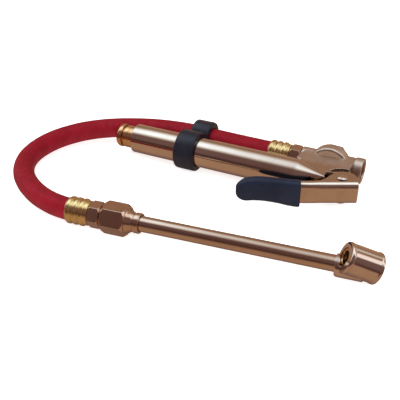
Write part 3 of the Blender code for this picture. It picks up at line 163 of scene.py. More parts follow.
def lathe(name, place, outer, inner=(), steps=ROUND):
    """A turned shape about local Z: outer and inner are (along, radius, rounding) from the low end to the high."""
    outer = fillet(outer)
    inner = fillet(inner)
    line = outer + list(reversed(inner))
    edit = bmesh.new()
    rows = []
    if not inner:
        line = [(outer[0][0], 0.0)] + line + [(outer[-1][0], 0.0)]
    for along, radius in line:
        if radius <= 1e-9:
            rows.append([edit.verts.new((0, 0, along))] * steps)
            continue
        rows.append([edit.verts.new((radius * math.cos(2 * math.pi * i / steps),
                                     radius * math.sin(2 * math.pi * i / steps), along)) for i in range(steps)])
    pairs = list(zip(rows, rows[1:]))
    if inner:
        pairs.append((rows[-1], rows[0]))
    for low, high in pairs:
        for i in range(steps):
            j = (i + 1) % steps
            corners = []
            for corner in (low[i], low[j], high[j], high[i]):
                if corner not in corners:
                    corners.append(corner)
            if len(corners) > 2:
                edit.faces.new(corners)
    return from_bmesh(name, edit, place)


def slab(name, place, outline, low, high, edge=0.0):
    """A flat outline, extruded along local Z, with its rims rounded off."""
    edit = bmesh.new()
    base = [edit.verts.new((x, y, low)) for x, y in outline]
    top = [edit.verts.new((x, y, high)) for x, y in outline]
    count = len(outline)
    for i in range(count):
        j = (i + 1) % count
        edit.faces.new((base[i], base[j], top[j], top[i]))
    edit.faces.new(list(reversed(base)))
    edit.faces.new(top)
    bmesh.ops.recalc_face_normals(edit, faces=edit.faces)
    if edge > 0:
        rims = [e for e in edit.edges if abs(e.verts[0].co.z - e.verts[1].co.z) < 1e-9]
        bmesh.ops.bevel(edit, geom=rims, offset=edge, segments=4, profile=0.5, affect="EDGES",
                        clamp_overlap=True)
    return from_bmesh(name, edit, place)


def hull(name, place, points):
    edit = bmesh.new()
    for point in points:
        edit.verts.new(point)
    made = bmesh.ops.convex_hull(edit, input=edit.verts)
    loose = {part for part in made["geom_interior"] + made["geom_unused"] if isinstance(part, bmesh.types.BMVert)}
    bmesh.ops.delete(edit, geom=list(loose), context="VERTS")
    return from_bmesh(name, edit, place)


def apply_modifiers(target):
    bpy.context.view_layer.update()
    shaped = bpy.data.meshes.new_from_object(target.evaluated_get(bpy.context.evaluated_depsgraph_get()))
    target.modifiers.clear()
    target.data = shaped


def combine(target, operation, *others):
    """Joins shapes to the target or cuts them from it, one after the other."""
    for other in others:
        step = target.modifiers.new("shape", "BOOLEAN")
        step.operation = operation
        step.solver = "EXACT"
        step.object = other
        apply_modifiers(target)
        bpy.data.objects.remove(other)
    return target


def drill(place, *steps_along, steps=SMALL):
    """A stepped hole along local Z: (start, end, radius) of each step, in order."""
    outer = []
    for start, end, radius in steps_along:
        outer += [(start, radius), (end, radius)]
    return lathe("drill", place, outer, steps=steps)


def slanted_drill(start, end, radius):
    way = Vector(end) - Vector(start)
    place = PLAN @ Matrix.Translation(start) @ way.to_track_quat("Z", "Y").to_matrix().to_4x4()
    return drill(place, (0.0, way.length, radius), steps=24)


def hexagon(name, place, flats, low, high, chamfer, turn=0.0):
    """A hexagonal bar along local Z, with its corners chamfered where they meet the turned ends."""
    corner = flats / 2 / math.cos(math.radians(30))
    outline = []
    for i in range(6):
        angle = math.radians(60 * i + 30 + turn)
        outline.append((corner * math.cos(angle), corner * math.sin(angle), 0.00025))
    bar = slab(name, place, fillet(outline, around=True, steps=4), low, high)
    flat = flats / 2
    ends = lathe("chamfer", place, [(low, flat - 0.0001), (low + chamfer, corner + 0.0001, 0.0003),
                                    (high - chamfer, corner + 0.0001, 0.0003), (high, flat - 0.0001)])
    return combine(bar, "INTERSECT", ends)


def catmull(points, per_span):
    """A smooth curve through points of any size, as tuples."""
    padded = [tuple(2 * a - b for a, b in zip(points[0], points[1]))] + list(points)
    padded.append(tuple(2 * a - b for a, b in zip(points[-1], points[-2])))
    fine = []
    for a, b, c, d in zip(padded, padded[1:], padded[2:], padded[3:]):
        for i in range(per_span):
            t = i / per_span
            fine.append(tuple(0.5 * (2 * q + (r - p) * t + (2 * p - 5 * q + 4 * r - s) * t * t
                                     + (3 * q - p - 3 * r + s) * t ** 3) for p, q, r, s in zip(a, b, c, d)))
    fine.append(tuple(points[-1]))
    return fine


# ---------------------------------------------------------------- materials

def new_material(name):
    made = bpy.data.materials.new(name)
    made.use_nodes = True
    tree = made.node_tree
    return made, tree, tree.nodes["Principled BSDF"]


def noise(tree, scale, detail=4.0, roughness=0.55):
    """A noise in object coordinates, which are metres."""
    at = tree.nodes.new("ShaderNodeTexCoord")
    made = tree.nodes.new("ShaderNodeTexNoise")
    made.inputs["Scale"].default_value = scale
    made.inputs["Detail"].default_value = detail
    made.inputs["Roughness"].default_value = roughness
    tree.links.new(at.outputs["Object"], made.inputs["Vector"])
    return made.outputs["Fac"]


def axes_of(tree, coordinates):
    """X, Y and Z of one of the texture coordinates."""
    at = tree.nodes.new("ShaderNodeTexCoord")
    split = tree.nodes.new("ShaderNodeSeparateXYZ")
    tree.links.new(at.outputs[coordinates], split.inputs["Vector"])
    return split.outputs


def span(tree, value, low, high, to_low=0.0, to_high=1.0):
    """A value's range carried over to another, smoothly."""
    made = tree.nodes.new("ShaderNodeMapRange")
    made.interpolation_type = "SMOOTHSTEP"
    made.inputs["From Min"].default_value = low
    made.inputs["From Max"].default_value = high
    made.inputs["To Min"].default_value = to_low
    made.inputs["To Max"].default_value = to_high
    tree.links.new(value, made.inputs["Value"])
    return made.outputs["Result"]


def mix(tree, factor, first, second):
    made = tree.nodes.new("ShaderNodeMix")
    made.data_type = "RGBA"
    for socket, value in ((made.inputs[6], first), (made.inputs[7], second)):
        if isinstance(value, tuple):
            socket.default_value = (*value, 1.0)
        else:
            tree.links.new(value, socket)
    tree.links.new(factor, made.inputs[0])
    return made.outputs[2]


def math_node(tree, operation, *values):
    made = tree.nodes.new("ShaderNodeMath")
    made.operation = operation
    for socket, value in zip(made.inputs, values):
        if isinstance(value, (int, float)):
            socket.default_value = value
        else:
            tree.links.new(value, socket)
    return made.outputs["Value"]


def finish_of(name, colour, stain, rough, metallic, edge=0.0003, grain=(900.0, 0.00002), wear=None, crevice_shade=None,
              patches=55.0, gloss=None, satin=None):
    """A finish with stains, uneven gloss, a fine grain, soft edges, and wear on its edges or painted shade in its
    corners.

    rough is (lowest, highest), grain is (scale, depth), crevice_shade is (colour, reach) of the painted shade that
    ambient occlusion lays in corners and grooves, and satin is (axis, from, to, roughness): beyond that place the
    polish is duller.
    """
    made, tree, shader = new_material(name)
    shader.inputs["Metallic"].default_value = metallic
    if gloss is not None:
        shader.inputs["Specular IOR Level"].default_value = gloss
    cloud = span(tree, noise(tree, patches, 6.0, 0.6), 0.35, 0.70)
    paint = mix(tree, cloud, colour, stain)
    soft = tree.nodes.new("ShaderNodeBevel")
    soft.samples = 6
    soft.inputs["Radius"].default_value = edge
    if wear is not None:
        flat = tree.nodes.new("ShaderNodeNewGeometry")
        dot = tree.nodes.new("ShaderNodeVectorMath")
        dot.operation = "DOT_PRODUCT"
        tree.links.new(flat.outputs["Normal"], dot.inputs[0])
        tree.links.new(soft.outputs["Normal"], dot.inputs[1])
        rubbed = span(tree, dot.outputs["Value"], 0.995, 0.90)
        broken = span(tree, noise(tree, 700.0, 3.0), 0.40, 0.62)
        paint = mix(tree, math_node(tree, "MULTIPLY", rubbed, broken), paint, wear)
    # painted shade: the colour darkens towards a given dark colour where ambient occlusion finds corners and
    # grooves
    if crevice_shade is not None:
        shade = tree.nodes.new("ShaderNodeAmbientOcclusion")
        shade.samples = 6
        shade.only_local = True
        shade.inputs["Distance"].default_value = crevice_shade[1]
        paint = mix(tree, span(tree, shade.outputs["AO"], 0.30, 0.85), crevice_shade[0], paint)
    tree.links.new(paint, shader.inputs["Base Color"])
    dull = span(tree, noise(tree, patches * 3.1, 5.0), 0.30, 0.70, rough[0], rough[1])
    if satin is not None:
        axis, start, end, extra = satin
        more = span(tree, axes_of(tree, "Object")[axis], start, end, 0.0, extra)
        dull = math_node(tree, "ADD", dull, more)
    tree.links.new(dull, shader.inputs["Roughness"])
    bump = tree.nodes.new("ShaderNodeBump")
    bump.inputs["Strength"].default_value = 1.0
    bump.inputs["Distance"].default_value = grain[1]
    tree.links.new(noise(tree, grain[0], 4.0), bump.inputs["Height"])
    tree.links.new(soft.outputs["Normal"], bump.inputs["Normal"])
    tree.links.new(bump.outputs["Normal"], shader.inputs["Normal"])
    return made


# The warm brown in these chrome colours is a painted reflection of a warm room; the plating itself is neutral
# chrome.
CHROME = finish_of("polished chrome", (0.63, 0.50, 0.43), (0.58, 0.45, 0.38), (0.05, 0.10), 1.0,
                   edge=0.00035, grain=(260.0, 0.000004))
CHROME_FORGED = finish_of("chromed forging", (0.63, 0.505, 0.435), (0.58, 0.455, 0.385), (0.06, 0.12), 1.0,
                          edge=0.0006, grain=(190.0, 0.00001), satin=("Y", 0.034, 0.041, 0.30))
# The tube's chrome is a darker, more orange copy of the others: painted shade for the dimmer reflections it gets
# under the barrel.
SHADED_TUBE_CHROME = finish_of("plated tube with painted shade", (0.58, 0.43, 0.345), (0.53, 0.385, 0.305), (0.09, 0.15), 1.0,
                        edge=0.0003, grain=(260.0, 0.000006))
# The boss's front face: a duller tan metal standing in for the tan reflection the face shows, a painted reflection.
PAINTED_REFLECTION_FACE = finish_of("boss face with painted reflection", (0.74, 0.52, 0.38), (0.67, 0.46, 0.33), (0.50, 0.60), 0.7, edge=0.0003,
                      grain=(190.0, 0.00001))
SHEET_CHROME = finish_of("chromed sheet", (0.63, 0.505, 0.42), (0.56, 0.43, 0.35), (0.10, 0.17), 1.0,
                         edge=0.0003, grain=(170.0, 0.00001))
# The brass and bronzed finishes below darken their corners and grooves with painted shade.
BRASS = finish_of("crimped brass", (0.72, 0.55, 0.27), (0.62, 0.42, 0.19), (0.14, 0.26), 1.0, edge=0.0002,
                  grain=(600.0, 0.000008), crevice_shade=((0.20, 0.10, 0.04), 0.0012))
PLUG_BRASS = finish_of("turned brass", (0.72, 0.46, 0.25), (0.62, 0.34, 0.17), (0.12, 0.22), 1.0, edge=0.0002,
                       grain=(500.0, 0.000008), crevice_shade=((0.22, 0.10, 0.05), 0.0014))
BRONZED = finish_of("bronzed brass", (0.62, 0.44, 0.35), (0.54, 0.37, 0.29), (0.08, 0.17), 1.0, edge=0.0004,
                    grain=(320.0, 0.00001), crevice_shade=((0.25, 0.14, 0.10), 0.0010))
STEEL = finish_of("steel", (0.60, 0.55, 0.50), (0.48, 0.42, 0.38), (0.18, 0.30), 1.0, edge=0.0002,
                  grain=(700.0, 0.00001))
PLASTIC = finish_of("moulded plastic", (0.007, 0.008, 0.016), (0.012, 0.012, 0.020), (0.28, 0.42), 0.0,
                    edge=0.0003, grain=(1500.0, 0.000015), wear=(0.045, 0.047, 0.06), gloss=0.28)
VINYL = finish_of("dipped vinyl", (0.007, 0.011, 0.027), (0.011, 0.016, 0.036), (0.40, 0.55), 0.0, edge=0.0004,
                  grain=(1300.0, 0.00004), wear=(0.030, 0.038, 0.065), gloss=0.24)
HOSE_RUBBER = finish_of("red rubber", (0.235, 0.0055, 0.016), (0.190, 0.0040, 0.011), (0.42, 0.60), 0.0,
                        edge=0.0002, grain=(900.0, 0.00004), patches=120.0, gloss=0.11)
BLACK_RUBBER = finish_of("black rubber", (0.016, 0.016, 0.016), (0.028, 0.027, 0.026), (0.55, 0.75), 0.0,
                         edge=0.0002, grain=(1500.0, 0.00003))
FIBRE = finish_of("red fibre", (0.32, 0.06, 0.04), (0.22, 0.04, 0.03), (0.60, 0.80), 0.0, edge=0.0001,
                  grain=(2200.0, 0.00004))


def place_piece(made, body, finish, slot_name, *nodes, angle=20.0):
    """Finishes a piece, puts it on its body and lets it stand for its CAD nodes."""
    made.data.materials.clear()
    made.data.materials.append(finish)
    made.data.shade_smooth()
    made.data.set_sharp_from_angle(angle=math.radians(angle))
    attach(made, body)
    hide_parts(*nodes)


# ---------------------------------------------------------------- hose

HOSE_ROUTE = [
    (0.0750, 0.0217), (0.0638, 0.0219), (0.0527, 0.0222), (0.0415, 0.0226), (0.0303, 0.0227),
    (0.0191, 0.0221), (0.0081, 0.0208), (-0.0029, 0.0186), (-0.0136, 0.0157), (-0.0241, 0.0118),
    (-0.0341, 0.0069), (-0.0432, 0.0005), (-0.0508, -0.0076), (-0.0564, -0.0173), (-0.0595, -0.0280),
    (-0.0599, -0.0391), (-0.0576, -0.0500), (-0.0527, -0.0600), (-0.0457, -0.0687), (-0.0372, -0.0759),
    (-0.0278, -0.0819), (-0.0176, -0.0867), (-0.0069, -0.0898),
]
HOSE_HEIGHTS = [
    1.00, 1.00, 1.00, 1.00, 1.00, 0.98, 0.95, 0.91, 0.86, 0.81, 0.75, 0.69, 0.63, 0.59, 0.56, 0.55, 0.55, 0.55,
    0.56, 0.57, 0.59, 0.62, 0.64,
]
REAR_START = 0.0912     # where the hose enters its rear ferrule
IN_FERRULE = 0.0131     # how far it goes in at either end
hose_line = [(REAR_START + IN_FERRULE, PORT_Y, AXIS_HEIGHT), (REAR_START, PORT_Y, AXIS_HEIGHT)]
hose_line += [(x, y, AXIS_HEIGHT * share) for (x, y), share in zip(HOSE_ROUTE, HOSE_HEIGHTS)]
hose_line += [CHUCK_AT]
hose_line += [(CHUCK_AT[0] + IN_FERRULE * math.cos(CHUCK_TURN), CHUCK_AT[1] + IN_FERRULE * math.sin(CHUCK_TURN),
               CHUCK_AT[2])]
hose_fine = [ASSEMBLY @ Vector(point) for point in catmull(hose_line, 8)]
hose_curve = bpy.data.curves.new("hose", "CURVE")
hose_curve.dimensions = "3D"
hose_curve.bevel_depth = HOSE_RADIUS
hose_curve.bevel_resolution = 10
hose_curve.use_fill_caps = True
hose_spline = hose_curve.splines.new("POLY")
hose_spline.points.add(len(hose_fine) - 1)
for spline_point, at in zip(hose_spline.points, hose_fine):
    spline_point.co = (*at, 1.0)
hose_curve.materials.append(HOSE_RUBBER)
hose = linked("hose_whip", hose_curve)
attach(hose, "tool_body")
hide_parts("hose")

# ---------------------------------------------------------------- valve body

BARREL_RADIUS = 0.0100
BARREL_LENGTH = 0.118
HEAD_TAPER_END = 0.1378
HEAD_FRONT = 0.0086
HEAD_HALF = 0.008
TAPER_TIP = 0.0006
BOSS_FACE = 0.0175
BOSS_RADIUS = 0.0131
PORT_BOSS_START = 0.1142
INLET_END = 0.155


def barrel_ring(x, middle, radius, half, count=ROUND):
    """Section of the barrel or its taper: a circle stretched upright."""
    ring = []
    for i in range(count + 2):
        side = 1 if i <= count / 2 else -1
        k = i if side > 0 else i - 1
        angle = 2 * math.pi * k / count
        ring.append((x, middle + radius * math.cos(angle), radius * math.sin(angle) + side * half))
    return ring


rings = []
for x, rounding in ((0.0, 0.0007), (0.0001, 0.0004), (0.0004, 0.0001), (0.0008, 0.0), (0.04, 0.0), (0.08, 0.0),
                    (0.112, 0.0), (0.116, 0.0), (0.1175, 0.0)):
    rings.append(barrel_ring(x, 0.0, BARREL_RADIUS - rounding, 0.0))
for k in range(16):
    share = k / 15
    rings.append(barrel_ring(BARREL_LENGTH + (HEAD_TAPER_END - BARREL_LENGTH) * share,
                             -(HEAD_FRONT - TAPER_TIP) * share,
                             BARREL_RADIUS + (TAPER_TIP - BARREL_RADIUS) * share,
                             (HEAD_HALF - 0.00005 - TAPER_TIP) * share))
valve_body = skin("valve_forging", rings, PLAN)
left = PORT_BOSS_START + GAP
outline = fillet([
    (BARREL_LENGTH - 0.0040, BARREL_RADIUS - 0.0012),
    (HEAD_TAPER_END, 0.0003 - HEAD_FRONT),
    (0.1492, 0.0003 - HEAD_FRONT),
    (0.1492, 0.0226, 0.0016),
    (VALVE_X + 0.0080, 0.0238, 0.0016),
    (VALVE_X - 0.0095, 0.0238, 0.0016),
    (left + 0.0030, 0.0216, 0.0010),
    (left, 0.0146, 0.0010),
    (left, BARREL_RADIUS - 0.0006),
], around=True)
boss = lathe("boss", VALVE, [(BOSS_FACE, 0.0060), (BOSS_FACE, BOSS_RADIUS, 0.0022),
                             (0.0265, BOSS_RADIUS, 0.0030), (0.0265, 0.0100)])
port_boss = lathe("port_boss", PORT, [(PORT_BOSS_START, 0.0082, 0.0006), (0.1223, 0.0082)])
collar = lathe("collar", PORT, [(0.1437, 0.0078), (0.1494, 0.0078, 0.0004), (0.1496, 0.0084, 0.0005),
                                (INLET_END, 0.0084, 0.0011), (INLET_END, 0.0068)])
combine(valve_body, "UNION", slab("plate", PLAN, outline, -HEAD_HALF, HEAD_HALF, edge=0.0004), boss, port_boss,
        collar)
combine(valve_body, "DIFFERENCE",
        drill(PLAN @ Matrix.Translation((*PIVOT_AT, 0)), (-0.02, 0.02, 0.0110), steps=ROUND))
lug_root = (PIVOT_AT[0] - 0.0045, PIVOT_AT[1] + 0.0140)
rim = []
for centre, radius in ((PIVOT_AT, 0.0054), (lug_root, 0.0056)):
    for k in range(64):
        angle = 2 * math.pi * k / 64
        rim.append((centre[0] + radius * math.cos(angle), centre[1] + radius * math.sin(angle)))
combine(valve_body, "UNION", hull("lug", PLAN, [(x, y, z) for x, y in rim for z in (-0.0055, 0.0055)]))
combine(valve_body, "DIFFERENCE",
        drill(BARREL, (-0.001, 0.106, 0.0080), (0.106, 0.110, 0.0030)),
        drill(VALVE, (-0.0118, -0.0012, 0.0038), (-0.0012, 0.0040, 0.00205), (0.0040, 0.0155, 0.0030),
              (0.0155, 0.0211, 0.0062), (0.0211, 0.0275, 0.0076)),
        slanted_drill((0.108, 0, 0), (VALVE_X, 0.007, 0), 0.00125),
        drill(PORT, (PORT_BOSS_START - 0.001, PORT_BOSS_START + 0.0068, 0.0056)),
        slanted_drill((PORT_BOSS_START + 0.0038, PORT_Y, 0), (VALVE_X - 0.001, 0.007, 0), 0.0016))
THREAD_START = 0.1453
THREAD_PITCH = 0.00125
thread = [(VALVE_X, 0.0035), (0.144, 0.0035), (0.144, 0.0061), (THREAD_START, 0.0061)]
for k in range(7):
    root = THREAD_START + THREAD_PITCH * k
    thread += [(root + 0.00040, 0.0065), (root + 0.00065, 0.0065), (root + 0.00105, 0.0061),
               (root + THREAD_PITCH, 0.0061)]
thread += [(0.1545, 0.0062), (0.1556, 0.0072), (0.1565, 0.0072)]
combine(valve_body, "DIFFERENCE", lathe("inlet_thread", PORT, thread, steps=SMALL),
        drill(PIVOT, (-0.011, 0.011, 0.0022)))
place_piece(valve_body, "tool_body", CHROME_FORGED, "chrome", "valve_body", angle=22)

# the boss's front face gets a painted reflection: a duller tan finish in place of the chrome's mirror
valve_body.data.materials.append(PAINTED_REFLECTION_FACE)
to_valve = VALVE.inverted() @ valve_body.matrix_world
for face in valve_body.data.polygons:
    from_face = abs((to_valve @ face.center).z - BOSS_FACE)
    if from_face < 0.0001 and abs((to_valve.to_3x3() @ face.normal).z) > 0.9:
        face.material_index = 1

# gauze cone inside the inlet
seat = 0.1443
screen_radius = 0.0058
screen = lathe("inlet_gauze", PORT, [
    (seat, screen_radius), (seat + 0.0010, screen_radius, 0.0003), (seat + 0.0012, screen_radius - 0.0015, 0.0003),
    (seat + 0.0026, screen_radius - 0.0035, 0.0006), (seat + 0.0026, 0.0004)],
    [(seat, screen_radius - 0.0012), (seat + 0.0008, screen_radius - 0.0020),
     (seat + 0.0020, screen_radius - 0.0041), (seat + 0.0020, 0.0004)], steps=SMALL)
place_piece(screen, "tool_body", STEEL, "steel", "inlet_screen")

# ---------------------------------------------------------------- pencil gauge

plug_end = -0.0127
plug = lathe("gauge_plug", BARREL, [
    (plug_end, 0.0068, 0.0003), (plug_end + 0.0012, 0.0080, 0.0009), (-0.0089, 0.0080, 0.0007),
    (-0.0089, 0.0064, 0.0003), (-0.0075, 0.0064, 0.0003), (-0.0075, 0.0077, 0.0006),
    (-0.0044, 0.0077, 0.0002), (-0.0041, 0.0074, 0.0002), (-0.0038, 0.0077, 0.0002), (-0.0003, 0.0077, 0.0003),
    (-0.0003, 0.0075), (0.0090, 0.0075)],
    [(plug_end, 0.0036, 0.0003), (plug_end + 0.0004, 0.0034), (0.0090, 0.0034)])
place_piece(plug, "tool_body", PLUG_BRASS, "brass", "gauge_end_plug")

bar = slab("gauge_bar", BARREL @ Matrix.Translation((0, 0, -0.0123)),
           fillet([(-0.0022, -0.0022, 0.0004), (0.0022, -0.0022, 0.0004), (0.0022, 0.0022, 0.0004),
                   (-0.0022, 0.0022, 0.0004)], around=True), 0.0, 0.1045, edge=0.0003)

# ---------------------------------------------------------------- valve

valve_plug = hexagon("valve_cap", VALVE, 0.0180, 0.0279, 0.0325, 0.0010, turn=30)
combine(valve_plug, "UNION", lathe("stud", VALVE, [(0.0214, 0.0069), (0.0218, 0.0073), (0.0289, 0.0073)]))
combine(valve_plug, "DIFFERENCE", drill(VALVE, (0.0204, 0.0307, 0.0052)),
        lathe("dimple", VALVE, [(0.0321, 0.0), (0.0321, 0.0018, 0.0004), (0.0333, 0.0026)], steps=SMALL))
place_piece(valve_plug, "tool_body", CHROME, "chrome", "valve_plug")
gasket = lathe("cap_washer", VALVE, [(0.0268, 0.0090, 0.0002), (0.0276, 0.0090, 0.0002)],
               [(0.0268, 0.0076), (0.0276, 0.0076)])
place_piece(gasket, "tool_body", FIBRE, "fibre", "plug_gasket")

guide = hexagon("stem_gland", VALVE, 0.0090, -0.0118, -0.0096, 0.0005)
combine(guide, "UNION", lathe("gland_stud", VALVE, [(-0.0106, 0.0035), (-0.0031, 0.0035)], steps=SMALL))
combine(guide, "DIFFERENCE", drill(VALVE, (-0.0128, -0.0021, 0.00205)))
place_piece(guide, "tool_body", PLUG_BRASS, "brass", "stem_guide")

stem_front = -0.0183165
stem = lathe("push_stem", VALVE, [
    (stem_front, 0.00025), (stem_front + 0.00008, 0.0006), (stem_front + 0.0003, 0.0010),
    (stem_front + 0.0007, 0.00140), (stem_front + 0.0012, 0.00166), (stem_front + 0.0018, 0.00175),
    (0.0180, 0.00175), (0.0180, 0.0046, 0.0002), (0.0197, 0.0046, 0.0002), (0.0197, 0.0019),
    (0.0221, 0.0019, 0.0002)], steps=SMALL)
place_piece(stem, "valve_stem_body", PLUG_BRASS, "brass", "valve_stem")

# ---------------------------------------------------------------- lever

WEB = 0.0074
LEVER_WEB = [
    (-0.0090, WEB), (-0.0084, WEB), (-0.0072, WEB), (-0.0058, WEB), (-0.0044, WEB), (-0.0030, WEB),
    (-0.0015, WEB), (0.0, WEB), (0.0030, WEB), (0.0060, WEB), (0.0090, WEB), (0.0120, WEB), (0.0150, WEB),
    (0.0200, WEB), (0.0262, WEB - 0.0002), (0.0310, WEB - 0.0007), (0.0360, WEB - 0.0014),
    (0.0460, WEB - 0.0031), (0.0550, WEB - 0.0046), (0.0600, WEB - 0.0051),
]
LEVER_FREE = [
    (-0.0090, 0.0010), (-0.0087, -0.0030), (-0.0078, -0.0050), (-0.0062, -0.0066), (-0.0050, -0.0073),
    (-0.0035, -0.0078), (-0.0015, -0.0081), (0.0012, -0.0078), (0.0040, -0.0060), (0.0066, -0.0036),
    (0.0092, -0.0010), (0.0120, 0.0014), (0.0142, 0.0026), (0.0200, 0.0033), (0.0262, 0.0031),
    (0.0310, 0.0026), (0.0360, 0.0019), (0.0460, 0.0002), (0.0550, -0.0013), (0.0600, -0.0013),
]
LEVER_BEND = 0.0037     # radius of the bend between the web and its flanges


def lever_half(x):
    """Half the lever's width, which narrows smoothly under the grip."""
    share = min(max((x - 0.0262) / 0.0098, 0.0), 1.0)
    return 0.0075 + (0.0050 - 0.0075) * share * share * (3 - 2 * share)


web_line = catmull(LEVER_WEB, 5)
free_line = catmull(LEVER_FREE, 5)
sections = []
for k, (web, free) in enumerate(zip(web_line, free_line)):
    before = web_line[max(k - 1, 0)]
    after = web_line[min(k + 1, len(web_line) - 1)]
    along = (Vector(after) - Vector(before)).normalized()
    inward = Vector((along.y, -along.x))
    half = lever_half(web[0])
    bend = min(LEVER_BEND, 0.75 * (web[1] - free[1]))
    upper = []
    for j in range(4):
        share = j / 4
        start = (web[0] + inward.x * bend, web[1] + inward.y * bend)
        upper.append((free[0] + (start[0] - free[0]) * share, free[1] + (start[1] - free[1]) * share, half))
    for j in range(9):
        turn = math.radians(90 * j / 8)
        back = bend * (1 - math.sin(turn))
        upper.append((web[0] + inward.x * back, web[1] + inward.y * back, half - bend * (1 - math.cos(turn))))
    sections.append(upper + [(x, y, -z) for x, y, z in reversed(upper)])
sections.reverse()
lever = skin("lever_channel", sections, LEVER, closed=False, caps=False)
sheet = lever.modifiers.new("sheet", "SOLIDIFY")
sheet.thickness = 0.0015
sheet.offset = -1
sheet.use_even_offset = True
apply_modifiers(lever)
combine(lever, "DIFFERENCE", drill(LEVER, (-0.015, 0.015, 0.0022), steps=48))
place_piece(lever, "squeeze_lever", SHEET_CHROME, "chrome", "lever", angle=30)

pin = lathe("pivot_rivet", PIVOT, [
    (-0.0096, 0.0015, 0.0002), (-0.0092, 0.0019, 0.0002), (0.0078, 0.0019), (0.0078, 0.0034, 0.0002),
    (0.00795, 0.0034, 0.0002), (0.0084, 0.0031, 0.0004), (0.0088, 0.0022, 0.0006), (0.0091, 0.0008, 0.0004),
    (0.0091, 0.0001)], steps=SMALL)
place_piece(pin, "tool_body", CHROME, "steel", "lever_pin", angle=35)
pin_clip = lathe("rivet_ring", PIVOT, [(-0.0087, 0.0038, 0.0002), (-0.0078, 0.0038, 0.0003)],
                 [(-0.0087, 0.0022), (-0.0078, 0.0022)], steps=SMALL)
place_piece(pin_clip, "tool_body", STEEL, "steel", "pin_clip")

# along the lever, middle, half width, lowest and highest
GRIP = [
    (0.0262, 0.0052, 0.0036, -0.0090, 0.0084),
    (0.0275, 0.0052, 0.0038, -0.0092, 0.0086),
    (0.0330, 0.0047, 0.0038, -0.0085, 0.0088),
    (0.0400, 0.0036, 0.0038, -0.0073, 0.0090),
    (0.0480, 0.0022, 0.0038, -0.0067, 0.0091),
    (0.0540, 0.0011, 0.0038, -0.0070, 0.0086),
    (0.0590, 0.0004, 0.0037, -0.0077, 0.0074),
    (0.0620, 0.0001, 0.0034, -0.0072, 0.0056),
    (0.0640, 0.0000, 0.0028, -0.0058, 0.0038),
    (0.0652, 0.0000, 0.0016, -0.0036, 0.0018),
]


def rounded_ring(x, middle, half_width, low, high, corner, per_corner=9):
    """A rectangular section with round corners."""
    half_height = (high - low) / 2
    centre = (high + low) / 2
    corner = min(corner, half_width * 0.95, half_height * 0.95)
    ring = []
    for side_y, side_z, start in ((1, 1, 0), (-1, 1, 90), (-1, -1, 180), (1, -1, 270)):
        for i in range(per_corner):
            angle = math.radians(start + 90 * i / (per_corner - 1))
            ring.append((x, middle + side_y * (half_width - corner) + corner * math.cos(angle),
                         centre + side_z * (half_height - corner) + corner * math.sin(angle)))
    return ring


grip = skin("grip_sleeve", [rounded_ring(*plan, 0.0030) for plan in catmull(GRIP, 7)], LEVER)
tail = []
for web, free in zip(web_line, free_line):
    if web[0] >= 0.0259:
        half = lever_half(web[0]) + GAP
        tail.append(rounded_ring(web[0], (web[1] + free[1]) / 2, (web[1] - free[1]) / 2 + GAP, -half, half,
                                 0.0005, per_corner=4))
mouth = [(x - 0.002, y, z) for x, y, z in tail[0]]
tail_end = [(x + GAP, y, z) for x, y, z in tail[-1]]
combine(grip, "DIFFERENCE", skin("pocket", [mouth] + tail + [tail_end], LEVER))
place_piece(grip, "squeeze_lever", VINYL, "vinyl", "lever_grip", angle=40)

# ---------------------------------------------------------------- clip

clip_start, clip_end = 0.0345, 0.0485
clip = lathe("hose_tie", BARREL, [
    (clip_start, 0.0104), (clip_start, 0.0134, 0.0014), (clip_end, 0.0134, 0.0014), (clip_end, 0.0104)])
ring_radius = HOSE_RADIUS + GAP + 0.0038
combine(clip, "UNION", lathe("hose_ring", CLIP, [
    (clip_start + 0.0003, ring_radius - 0.003), (clip_start + 0.0003, ring_radius, 0.0014),
    (clip_end - 0.0003, ring_radius, 0.0014), (clip_end - 0.0003, ring_radius - 0.003)]))
combine(clip, "DIFFERENCE", drill(BARREL, (clip_start - 0.001, clip_end + 0.001, 0.0103), steps=ROUND),
        drill(CLIP, (clip_start - 0.001, clip_end + 0.001, HOSE_RADIUS + GAP), steps=ROUND))
place_piece(clip, "tool_body", PLASTIC, "black_plastic", "hose_clip", angle=24)

# ---------------------------------------------------------------- hose fittings


def ferrule(name, place, start, node):
    """A sleeve crimped in three ribs."""
    groove = 0.0076
    rib = 0.0084
    length = 0.0146
    pitch = length / 3.5
    outer = [(start, groove - 0.0003, 0.0001), (start + 0.0003, groove, 0.0003)]
    for i in range(3):
        base = start + pitch * i
        outer += [(base + pitch * 0.12, groove, 0.0003), (base + pitch * 0.30, rib, 0.0006),
                  (base + pitch * 0.72, rib, 0.0006), (base + pitch * 0.92, groove, 0.0004)]
    outer += [(start + length - 0.0004, groove, 0.0004), (start + length, groove - 0.0006)]
    floor = start + length - 0.0012
    made = lathe(name, place, outer, [(start, 0.0072), (floor, 0.0072), (floor, 0.0036), (start + length, 0.0036)])
    place_piece(made, "tool_body", BRASS, "brass", node)


def fitting(name, place, start, end, node):
    """A hexagon with a barb on one side and a plain neck on the other."""
    made = hexagon(name, place, 0.0145, start + 0.0149, start + 0.0222, 0.0012)
    combine(made, "UNION", lathe("core", place, [
        (start + 0.0010, 0.0033), (start + 0.0164, 0.0033), (start + 0.0164, 0.0053),
        (end - 0.0004, 0.0053), (end, 0.0049)], steps=SMALL))
    combine(made, "DIFFERENCE", drill(place, (start, end + 0.001, 0.0018), steps=32))
    place_piece(made, "tool_body", BRONZED, "bronzed", node)


ferrule("rear_crimp", PORT, REAR_START, "rear_ferrule")
fitting("rear_union", PORT, REAR_START, PORT_BOSS_START - GAP + 0.0062, "rear_fitting")
ferrule("front_crimp", CHUCK, 0.0, "front_ferrule")
fitting("front_union", CHUCK, 0.0, 0.0292, "front_fitting")

# ---------------------------------------------------------------- chuck

